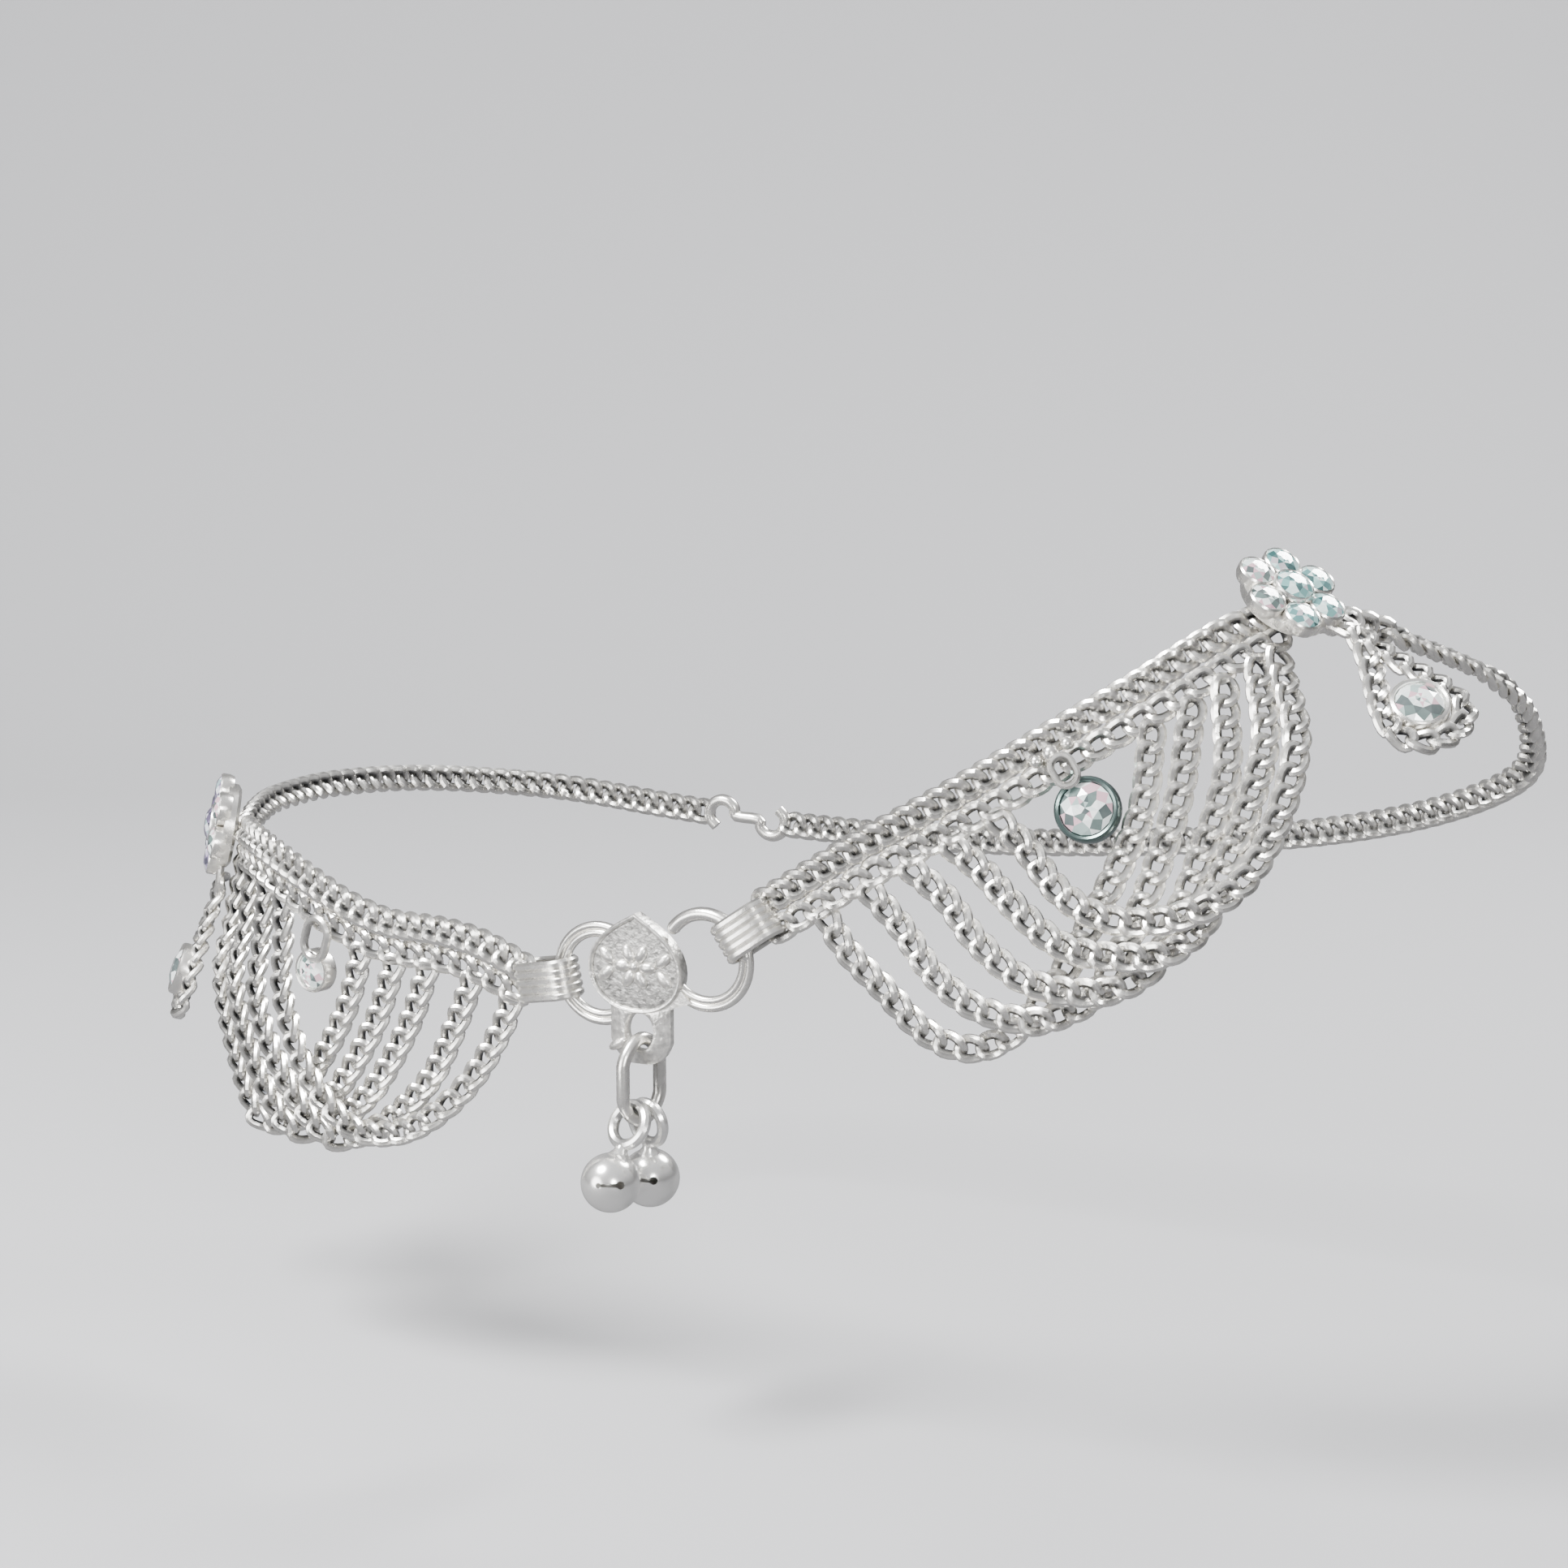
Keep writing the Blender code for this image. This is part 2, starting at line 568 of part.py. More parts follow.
def heart_plate(finish):
    """Heart plate with its rim, rosette, two wire lugs and the eye that carries the bells."""
    place = heart_place()
    half = HEART_THICKNESS / 2

    def plate(bm):
        add_prism(bm, heart_outline(), -half, half, place)
        out = place.to_3x3() @ Vector((0, 0, 1))
        bm.normal_update()
        face = max(bm.faces, key=lambda f: f.calc_center_median().dot(out) + len(f.verts))
        bmesh.ops.inset_region(bm, faces=[face], thickness=HEART_RIM)
        bmesh.ops.translate(bm, verts=face.verts, vec=-out * HEART_RIM_RISE)

    def rosette(bm):
        turns = 48
        outline = []
        for i in range(turns):
            angle = 2 * math.pi * i / turns
            radius = ROSETTE_RADIUS * (1 - ROSETTE_WAVE + ROSETTE_WAVE * math.cos(ROSETTE_LOBES * angle))
            outline.append((radius * math.cos(angle), radius * math.sin(angle) - ROSETTE_DROP * HEART_FOOT))
        face = half - HEART_RIM_RISE
        add_prism(bm, outline, 0.3 * face, face + ROSETTE_RISE, place)

    def left_lug(bm):
        arc_wire(bm, place, (LEFT_LUG_X, LEFT_LUG_Z), LEFT_LUG_RADIUS, LUG_WIRE, LEFT_LUG_ARC, 18)

    def right_lug(bm):
        arc_wire(bm, place, (RIGHT_LUG_X, RIGHT_LUG_Z), RIGHT_LUG_RADIUS, LUG_WIRE, RIGHT_LUG_ARC, 20)

    def web(bm):
        corner = RIGHT_LUG_Z - RIGHT_LUG_RADIUS
        outline = [(0.25 * HEART_WIDTH, -0.95 * HEART_FOOT),
                   (RIGHT_LUG_X - 0.3 * RIGHT_LUG_RADIUS, corner),
                   (RIGHT_LUG_X - 0.75 * RIGHT_LUG_RADIUS, 0.45 * corner)]
        add_prism(bm, outline, -0.4 * LUG_WIRE, 0.4 * LUG_WIRE, place)

    def tab(bm):
        bottom = EYE_TOP - EYE_HEIGHT - EYE_BAR
        shoulder = EYE_TOP - EYE_HEIGHT
        edge = [(1.0, -TAB_TOP * HEART_FOOT), (1.0, shoulder + EYE_BAR / 2),
                (TAB_SHOULDER, shoulder - EYE_BAR / 2), (TAB_FOOT, bottom)]
        outline = [(EYE_X - u * TAB_HALF_WIDTH, v) for u, v in edge]
        outline += [(EYE_X + u * TAB_HALF_WIDTH, v) for u, v in reversed(edge)]
        add_prism(bm, outline, -TAB_THICKNESS / 2, TAB_THICKNESS / 2, place)

    def eye(bm):
        outline = []
        for i in range(EYE_SIDES):
            angle = 2 * math.pi * (i + 0.5) / EYE_SIDES
            outline.append((EYE_X + EYE_WIDTH / 2 * math.cos(angle),
                            EYE_TOP - EYE_HEIGHT / 2 + EYE_HEIGHT / 2 * math.sin(angle)))
        add_prism(bm, outline, -HEART_THICKNESS, HEART_THICKNESS, place)

    parts = [solid("piece", build, finish) for build in (plate, rosette, left_lug, right_lug, web, tab)]
    body = union(parts, "heart_plate")
    boolean(body, solid("cutter", eye, finish), "DIFFERENCE")
    return body


def hinge_point():
    """Middle of the bar under the eye, where the bell drop swings."""
    return heart_place() @ Vector((EYE_X, EYE_TOP - EYE_HEIGHT - EYE_BAR / 2, 0))


def drop_place():
    """Matrix of the bell drop: X across the jump ring's plane, Y up, Z along its width."""
    across = Vector((math.cos(JUMP_TURN), -math.sin(JUMP_TURN), 0))
    wide = Vector((math.sin(JUMP_TURN), math.cos(JUMP_TURN), 0))
    return frame(hinge_point(), across, -wide)


def jump_ring(finish):
    """Oval jump ring through the heart's eye."""
    top = EYE_BAR / 2 + SEAT_GAP + JUMP_LIFT + JUMP_WIRE / 2
    place = drop_place()
    out = place.to_3x3()
    centre = place @ Vector((0, top - JUMP_HEIGHT / 2, 0))
    upright = frame(centre, out @ Vector((0, 1, 0)), out @ Vector((1, 0, 0)))

    def build(bm):
        add_oval(bm, upright, JUMP_HEIGHT, JUMP_WIDTH, JUMP_WIRE, 16, 6)

    return solid("jump_ring", build, finish)


def bell(name, bail_at, tilt, sway, facing, finish):
    """Round bell on its bail, at a place along the foot of the jump ring, tilted and swayed from upright.

    facing is the direction that its slit looks in, turned from -Y towards +X.
    """
    low = EYE_BAR / 2 + SEAT_GAP + JUMP_LIFT + JUMP_WIRE / 2 - JUMP_HEIGHT
    bend = JUMP_WIDTH / 2
    place = drop_place()
    seat = place @ Vector((0, low + bend - math.sqrt(bend ** 2 - bail_at ** 2), -bail_at))
    turn = place.to_3x3()
    down = (turn @ Vector((math.sin(sway), -math.cos(tilt), -math.sin(tilt)))).normalized()
    front = (turn @ Vector((1, 0, 0))).cross(down).normalized()
    across = down.cross(front)
    bail_centre = seat + down * (BAIL_RADIUS - BAIL_WIRE / 2 - SEAT_GAP - JUMP_WIRE / 2)
    ball_centre = bail_centre + down * (BAIL_RADIUS + BAIL_WIRE / 2 + NECK_LENGTH + BELL_DIAMETER / 2)

    def bail(bm):
        ring = frame(bail_centre, across, front)
        add_oval(bm, ring, 2 * BAIL_RADIUS, 2 * BAIL_RADIUS, BAIL_WIRE, 14, 6)

    def neck(bm):
        base = frame(ball_centre, across, -down)
        half = NECK_DIAMETER / 2
        low_end = 0.46 * BELL_DIAMETER
        high_end = BELL_DIAMETER / 2 + NECK_LENGTH + 0.6 * BAIL_WIRE
        add_frustum(bm, [(half, low_end), (0.7 * half, high_end)], 8, base)

    def ball(radius, segments, rings):
        def build(bm):
            upright = frame(ball_centre, across, -down) @ Matrix.Rotation(BELL_TURN, 4, "Z")
            bmesh.ops.create_uvsphere(bm, u_segments=segments, v_segments=rings, radius=radius, matrix=upright)
        return build

    level = math.cos(BELL_SLIT_RISE)
    face = Vector((level * math.sin(facing), -level * math.cos(facing), math.sin(BELL_SLIT_RISE)))

    def slit(bm):
        level_run = Vector((math.cos(facing), math.sin(facing), 0))
        mouth = frame(ball_centre + face * BELL_DIAMETER / 2, level_run, face)
        outline = []
        for end in (1, -1):
            for i in range(7):
                angle = math.radians(-135 + 45 * i)
                outline.append((end * (BELL_SLIT_LENGTH + BELL_SLIT_HOLE * math.cos(angle)) / 2,
                                end * BELL_SLIT_HOLE * math.sin(angle) / 2))
        add_prism(bm, outline, -BELL_DIAMETER / 3, BELL_DIAMETER / 3, mouth)

    body = solid(name, ball(BELL_DIAMETER / 2, 16, 10), finish)
    union([body, solid("piece", bail, finish), solid("piece", neck, finish)], name)
    boolean(body, solid("cutter", ball(BELL_DIAMETER / 2 - BELL_WALL, 12, 8), finish), "DIFFERENCE")
    return boolean(body, solid("cutter", slit, finish), "DIFFERENCE")


def end_bundle(name, lug, band_start, band_next, chain_start, finish):
    """Parallel wire loops that tie a lug of the heart to the start of the band and the lower chain."""
    lug_x, lug_z, radius = lug
    place = heart_place()
    out = outward(band_start)
    target = band_start.lerp(chain_start, 0.5) + out * (HEART_LIFT - CHAIN_LIFT) / 2
    aim = place.inverted() @ target
    angle = math.atan2(aim.y - lug_z, aim.x - lug_x)
    anchor = place @ Vector((lug_x + radius * math.cos(angle), lug_z + radius * math.sin(angle), 0))
    along = (target - anchor).normalized()
    stack = out.cross(along).normalized()
    edge = out.cross(band_next - band_start).normalized() * BAND_WIDTH / 2
    ends = [band_start + edge, band_start - edge, chain_start + edge * CHAIN_TUBE / BAND_WIDTH,
            chain_start - edge * CHAIN_TUBE / BAND_WIDTH]
    reach = min((spot - anchor).dot(along) for spot in ends) - SEAT_GAP - BUNDLE_WIRE / 2
    spread = (BUNDLE_LOOPS - 1) / 2 * BUNDLE_PITCH
    bow = spread ** 2 / (2 * radius)
    back = (LUG_WIRE + BUNDLE_WIRE) / 2 + 1.5 * SEAT_GAP + bow
    wire = BUNDLE_WIRE / 2
    valley = math.sqrt(wire ** 2 - (BUNDLE_PITCH / 2) ** 2)
    edge_line = []
    for i in range(BUNDLE_LOOPS):
        level = i * BUNDLE_PITCH - spread
        if i > 0:
            edge_line.append((valley, level - BUNDLE_PITCH / 2))
        edge_line += [(0.85 * wire, level - 0.5 * wire), (0.85 * wire, level + 0.5 * wire)]
    section = [(0, -spread - wire)] + edge_line + [(0, spread + wire)]
    section += [(-u, v) for u, v in reversed(edge_line)]
    centre = anchor + along * (reach - back) / 2
    across = stack.cross(along)
    straight = (reach + back - BUNDLE_WIDTH) / 2

    def loops(bm):
        rings = []
        turns = 12
        for i in range(turns):
            turn = 2 * math.pi * (i + 0.5) / turns
            bend = straight if math.cos(turn) > 0 else -straight
            away = along * math.cos(turn) + across * math.sin(turn)
            middle = centre + along * bend + away * BUNDLE_WIDTH / 2
            rings.append([bm.verts.new(middle + away * u + stack * v) for u, v in section])
        count = len(section)
        for i in range(turns):
            first, second = rings[i], rings[(i + 1) % turns]
            for k in range(count):
                bm.faces.new((first[k], first[(k + 1) % count], second[(k + 1) % count], second[k]))

    return solid(name, loops, finish)


def stone_in_cup(bm, place, radius, height, facets, turn=0.0):
    """Add a round cup with a cut stone on it: girdle, crown facets and a flat table."""
    girdle = radius - BEZEL_WALL * radius
    rise = STONE_RISE * radius
    profile = [(BEZEL_FOOT * radius, 0.0), (radius, 0.6 * height), (radius, height), (girdle, height),
               (0.95 * girdle, height + STONE_GIRDLE_RISE * rise), (STONE_TABLE * girdle, height + rise)]
    add_frustum(bm, profile, facets, place, turn)


def stone_drop(name, spot, diameter, chain, finish):
    """Bezel-set round stone under the lower chain, with a small ring in front of the chain."""
    top = min(chain, key=lambda p: (p - on_side(*spot, CHAIN_LIFT / MM)).length)
    centre = on_side(*spot, DROP_LIFT / MM)
    out = outward(centre)
    up = top - centre
    up = up - out * up.dot(out)
    reach = up.length
    up.normalize()
    place = frame(centre, out.cross(up), out)
    radius = diameter / 2
    low = radius - 0.75 * DROP_EYE_WIRE
    high = reach + 0.25 * CHAIN_TUBE
    lift = CHAIN_LIFT + CHAIN_TUBE / 2 + SEAT_GAP + DROP_EYE_WIRE / 2 - DROP_LIFT

    def cup(bm):
        stone_in_cup(bm, place, radius, BEZEL_HEIGHT, STONE_FACETS)

    def ring(bm):
        middle = centre + up * (low + high) / 2 + out * lift
        width = min(high - low, 2 * DROP_EYE_RADIUS)
        add_oval(bm, frame(middle, up, out), high - low, width, DROP_EYE_WIRE, 12, 6)

    return union([solid(name, cup, finish), solid("piece", ring, finish)], name)


def flower(name, centre, along, pendant_top, finish):
    """Flower of six stones round a middle one, on a round base plate with a tab towards its pendant."""
    out = outward(centre)
    base = centre + out * FLOWER_LIFT
    place = frame(base, along, out)
    thick = FLOWER_BASE_THICKNESS
    radius = FLOWER_BASE_DIAMETER / 2
    rim = 0.08 * radius

    def plate(bm):
        add_frustum(bm, [(radius - rim, 0), (radius, rim), (radius, thick)], 20, place)

    def tab(bm):
        root = base + out * thick / 2
        reach = pendant_top - root
        high = reach.length - LINK_WIDTH / 2 - 2.5 * SEAT_GAP
        half = TAB_WIDTH / 2
        outline = [(0.6 * radius, -half), (high - 0.5 * half, -half), (high, -0.5 * half), (high, 0.5 * half),
                   (high - 0.5 * half, half), (0.6 * radius, half)]
        add_prism(bm, outline, -0.35 * thick, 0.35 * thick, frame(root, reach, out))

    def cup(reach, angle, cup_radius, height, turn):
        sink = CUP_SINK * thick
        spot = place @ Matrix.Translation((reach * math.cos(angle), reach * math.sin(angle), thick - sink))

        def build(bm):
            stone_in_cup(bm, spot, cup_radius, height + sink, PETAL_FACETS, turn)

        return solid("piece", build, finish)

    parts = [solid(name, plate, finish), solid("piece", tab, finish)]
    for i in range(PETALS):
        angle = 2 * math.pi * (i + 0.5) / PETALS
        parts.append(cup(PETAL_RING, angle, PETAL_CUP, CUP_HEIGHT, angle + math.pi / PETAL_FACETS))
    parts.append(cup(0.0, 0.0, MIDDLE_CUP * PETAL_CUP, MIDDLE_CUP_HEIGHT * CUP_HEIGHT, 0.1))
    return union(parts, name)


def link_loop(name, places, finish):
    """Closed chain of turned links: every second link in its own mesh, and the two meshes fused."""
    halves = []
    for start in (0, 1):
        bm = bmesh.new()
        for place in places[start::2]:
            add_oval(bm, place, LINK_LENGTH - LINK_WIRE, LINK_WIDTH - LINK_WIRE, LINK_WIRE, 8, 5)
        halves.append(mesh_object(name if start == 0 else "piece", bm, finish))
    return union(halves, name)


def pendant(name, top, centre, out, linked, finish, stone_finish):
    """Teardrop loop of chain round a bezel-set stone, hung from a flower."""
    down = (centre - top).normalized()
    out = (out - down * out.dot(down)).normalized()
    side = out.cross(down)
    length = (centre - top).length
    angles = [2 * math.pi * i / 96 for i in range(96)]
    spreads = [math.sin(angle) * math.sin(angle / 2) ** TEARDROP_POWER for angle in angles]
    outline = []
    for angle, spread in zip(angles, spreads):
        outline.append(top + down * ((length + LOOP_FOOT) * (1 - math.cos(angle)) / 2)
                       + side * (LOOP_HALF_WIDTH * spread / max(spreads)))
    outline.append(outline[0].copy())
    spaced = resample(outline, polyline_length(outline) / LOOP_LINKS)[:-1]
    if linked:
        places = []
        for i, point in enumerate(spaced):
            ahead = spaced[(i + 1) % len(spaced)]
            along = (ahead - spaced[i - 1]).normalized()
            places.append(frame(point, along, Matrix.Rotation(LINK_TURN, 3, along) @ out))
        link_loop(name + "_chain", places, finish)
    else:
        ring = tube(name + "_chain", spaced, LINK_TUBE, finish)
        ring.data.splines[0].use_cyclic_u = True
        ring.data.use_fill_caps = False
    place = frame(centre - out * BEZEL_HEIGHT / 2, side, out)
    radius = PENDANT_BEZEL / 2
    solid(name + "_stone", lambda bm: stone_in_cup(bm, place, radius, BEZEL_HEIGHT, STONE_FACETS), stone_finish)


def clasp(name, start, end, finish):
    """Plain S-shaped hook between the two ends of the far band."""
    along = (end - start).normalized()
    middle = start.lerp(end, 0.5)
    out = outward(middle)
    up = out.cross(along).normalized()
    half = (end - start).length / 2 - SEAT_GAP - CLASP_WIRE / 2
    bend = CLASP_HALF_WIDTH
    points = []
    for i in range(9):
        angle = CLASP_CURL * math.pi * (1 - i / 8)
        points.append(middle - along * (half - bend - bend * math.cos(angle)) - up * bend * math.sin(angle))
    mirrored = [2 * middle - p for p in reversed(points)]
    return tube(name, spline(points + mirrored, 2), CLASP_WIRE, finish)


def remove_scene_objects():
    """Empty the scene."""
    for existing in list(bpy.data.objects):
        bpy.data.objects.remove(existing)


def build_anklet():
    """Build every node of the anklet."""
    satin = material("satin_silver", (0.80, 0.80, 0.78), 0.32, 1.0)
    bright = material("bright_silver", (0.88, 0.88, 0.87), 0.10, 1.0)
    clear = material("clear_stone", (0.90, 0.93, 0.93), 0.05, 0.0)
    aqua = material("aqua_stone", (0.68, 0.85, 0.84), 0.05, 0.0)

    heart_plate(satin)
    hinge = bpy.data.objects.new("bell_hinge", None)
    hinge.location = hinge_point()
    bpy.context.scene.collection.objects.link(hinge)
    bpy.context.view_layer.update()
    ring = jump_ring(satin)
    inner = bell("bell_inner", INNER_BAIL_AT, INNER_BELL_TILT, INNER_BELL_SWAY, INNER_BELL_FACE, bright)
    outer = bell("bell_outer", OUTER_BAIL_AT, OUTER_BELL_TILT, OUTER_BELL_SWAY, OUTER_BELL_FACE, bright)
    for piece in (ring, inner, outer):
        piece.parent = hinge
        piece.matrix_parent_inverse = hinge.matrix_world.inverted()

    lift = CHAIN_LIFT / MM
    near_toe = [on_side(q, z, lift) for q, z in side_route(TOE_BAND)]
    near_heel = [on_side(q, z, lift) for q, z in side_route(HEEL_BAND)]
    instep = [on_top(x, y, lift) for x, y in INSTEP_BAND]
    far = [on_side(q, z, lift, 1) for q, z in FAR_BAND]
    heel_turn = [on_side(q, z, lift) for q, z in HEEL_TURN]
    toe_join = spline([near_toe[-20], near_toe[-1], instep[0]])
    band("band_toe", near_toe[:-20] + toe_join, satin)
    band("band_heel", near_heel, satin)
    back = spline([instep[0].lerp(instep[1], 0.22)] + instep[1:] + far + heel_turn)
    split = [i for i, p in enumerate(back) if p.y > 0 and p.x < CLASP_AT * MM + CLASP_LENGTH / 2]
    first = split[0]
    last = [i for i, p in enumerate(back) if i > first and p.x < CLASP_AT * MM - CLASP_LENGTH / 2][0]
    band("band_far_toe", back[:first], satin)
    band("band_far_heel", back[last:], satin)
    clasp("clasp_hook", back[first - 1], back[last], satin)

    chains = {}
    ends = (("toe", TOE_BAND + [TOE_CHAIN_TAIL], TOE_STRANDS), ("heel", HEEL_BAND, HEEL_STRANDS))
    for end, chosen, strands in ends:
        lower = [on_side(q, z, lift) for q, z in lower_chain_route(chosen)]
        if end == "heel":
            last_x = on_side(*HEEL_CHAIN_END, lift).x
            lower = [p for p in lower if p.x > last_x]
        chains[end] = lower
        tube("lower_chain_" + end, resample(lower, TUBE_STEP), CHAIN_TUBE, satin)
        hang = hang_route(chosen)
        for number, (heart_q, flower_q, between) in enumerate(strands, start=1):
            points = strand_points(hang, heart_q, flower_q, between)
            tube("strand_" + end + "_" + str(number), resample(points, TUBE_STEP), CHAIN_TUBE, satin)

    toe_lug = (RIGHT_LUG_X, RIGHT_LUG_Z, RIGHT_LUG_RADIUS)
    heel_lug = (LEFT_LUG_X, LEFT_LUG_Z, LEFT_LUG_RADIUS)
    end_bundle("end_bundle_toe", toe_lug, near_toe[0], near_toe[1], chains["toe"][0], satin)
    end_bundle("end_bundle_heel", heel_lug, near_heel[0], near_heel[1], chains["heel"][0], satin)

    stone_drop("stone_drop_toe", TOE_STONE, TOE_DROP_BEZEL, chains["toe"], clear)
    stone_drop("stone_drop_heel", HEEL_STONE, HEEL_DROP_BEZEL, chains["heel"], aqua)
    toe_top = on_top(*TOE_PENDANT_TOP)
    toe_stone = on_top(*TOE_PENDANT_STONE)
    heel_top = on_side(*HEEL_PENDANT_TOP)
    heel_stone = on_side(*HEEL_PENDANT_STONE)
    flower("flower_toe", on_top(*INSTEP_BAND[0], 0), instep[1] - instep[0], toe_top, aqua)
    flower("flower_heel", on_side(*HEEL_BAND[-1], 0), near_heel[-1] - near_heel[-20], heel_top, aqua)
    pendant("pendant_toe", toe_top, toe_stone, outward(toe_stone), True, satin, clear)
    pendant("pendant_heel", heel_top, heel_stone, outward(heel_stone), False, satin, clear)


remove_scene_objects()
build_anklet()
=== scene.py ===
"""Look of the payal anklet: curb links, leaf plate, bells, flowers and cut stones over the CAD frame.

Units are metres and +Z is up. The anklet keeps its worn form and +X runs towards the toes. Routes are
(q, z, lift) in millimetres: distance along the ankle's side, height, and distance out from the ankle.
"""
import json
import logging
import math
import random
from dataclasses import dataclass, field
from enum import Enum
from typing import Callable, Sequence

import bmesh
import bpy
from mathutils import Matrix, Vector

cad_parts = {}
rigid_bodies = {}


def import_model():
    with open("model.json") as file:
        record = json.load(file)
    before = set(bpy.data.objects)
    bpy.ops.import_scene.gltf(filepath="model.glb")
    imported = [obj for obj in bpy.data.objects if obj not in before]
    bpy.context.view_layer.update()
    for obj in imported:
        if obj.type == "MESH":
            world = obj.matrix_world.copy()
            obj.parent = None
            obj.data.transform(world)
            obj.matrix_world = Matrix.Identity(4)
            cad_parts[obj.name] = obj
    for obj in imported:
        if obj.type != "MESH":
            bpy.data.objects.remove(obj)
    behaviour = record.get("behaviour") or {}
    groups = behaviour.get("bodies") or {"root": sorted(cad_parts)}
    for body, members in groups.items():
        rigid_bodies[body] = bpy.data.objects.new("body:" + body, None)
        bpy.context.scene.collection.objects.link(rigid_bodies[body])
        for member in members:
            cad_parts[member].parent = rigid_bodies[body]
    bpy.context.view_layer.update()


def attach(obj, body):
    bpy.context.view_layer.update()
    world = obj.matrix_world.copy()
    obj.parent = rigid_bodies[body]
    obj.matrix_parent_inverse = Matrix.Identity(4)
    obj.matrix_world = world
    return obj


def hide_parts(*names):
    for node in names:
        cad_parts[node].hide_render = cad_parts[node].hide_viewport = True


LOG = logging.getLogger("anklet")
MM = 0.001
# Painted shade inside a wire loop, and the share of it on a wire's lower side.
LOOP_SHADE = 0.55
LOWER_SHADE = 0.2
# Radius of an arc's rounded end as a share of the wire's.
END_SHARE = 0.98
# A cut stone, as shares of its girdle's radius: height of its top, depth of its point, and the rings of the
# girdle, the crown, the table and its middle as radius, height, corners and turn in corners.
STONE_TOP = 0.33
STONE_DEPTH = 0.6
STONE_RINGS = ((1.0, -0.03, 16, 0.0), (1.0, 0.03, 16, 0.0), (0.78, 0.20, 8, 0.5), (0.52, 0.31, 8, 0.0),
               (0.24, STONE_TOP, 8, 0.5))
BMesh = bmesh.types.BMesh
Build = Callable[[BMesh], None]
Ring = Sequence[bmesh.types.BMVert]
Pair = tuple[float, float]
Pairs = tuple[Pair, ...]
Triple = tuple[float, float, float]
Triples = tuple[Triple, ...]
Values = dict[str, object]
Route = list[Vector]


class Side(Enum):
    """Which side of the ankle a route lies on."""

    NEAR = -1
    FAR = 1


class End(Enum):
    """Which half of the anklet a piece belongs to."""

    TOE = "toe"
    HEEL = "heel"


def held(share: float) -> float:
    """A share held between 0 and 1."""
    return min(max(share, 0.0), 1.0)


def polar(radius: float, angle: float, height: float = 0.0) -> Vector:
    """Point at a radius and an angle round Z."""
    return Vector((radius * math.cos(angle), radius * math.sin(angle), height))


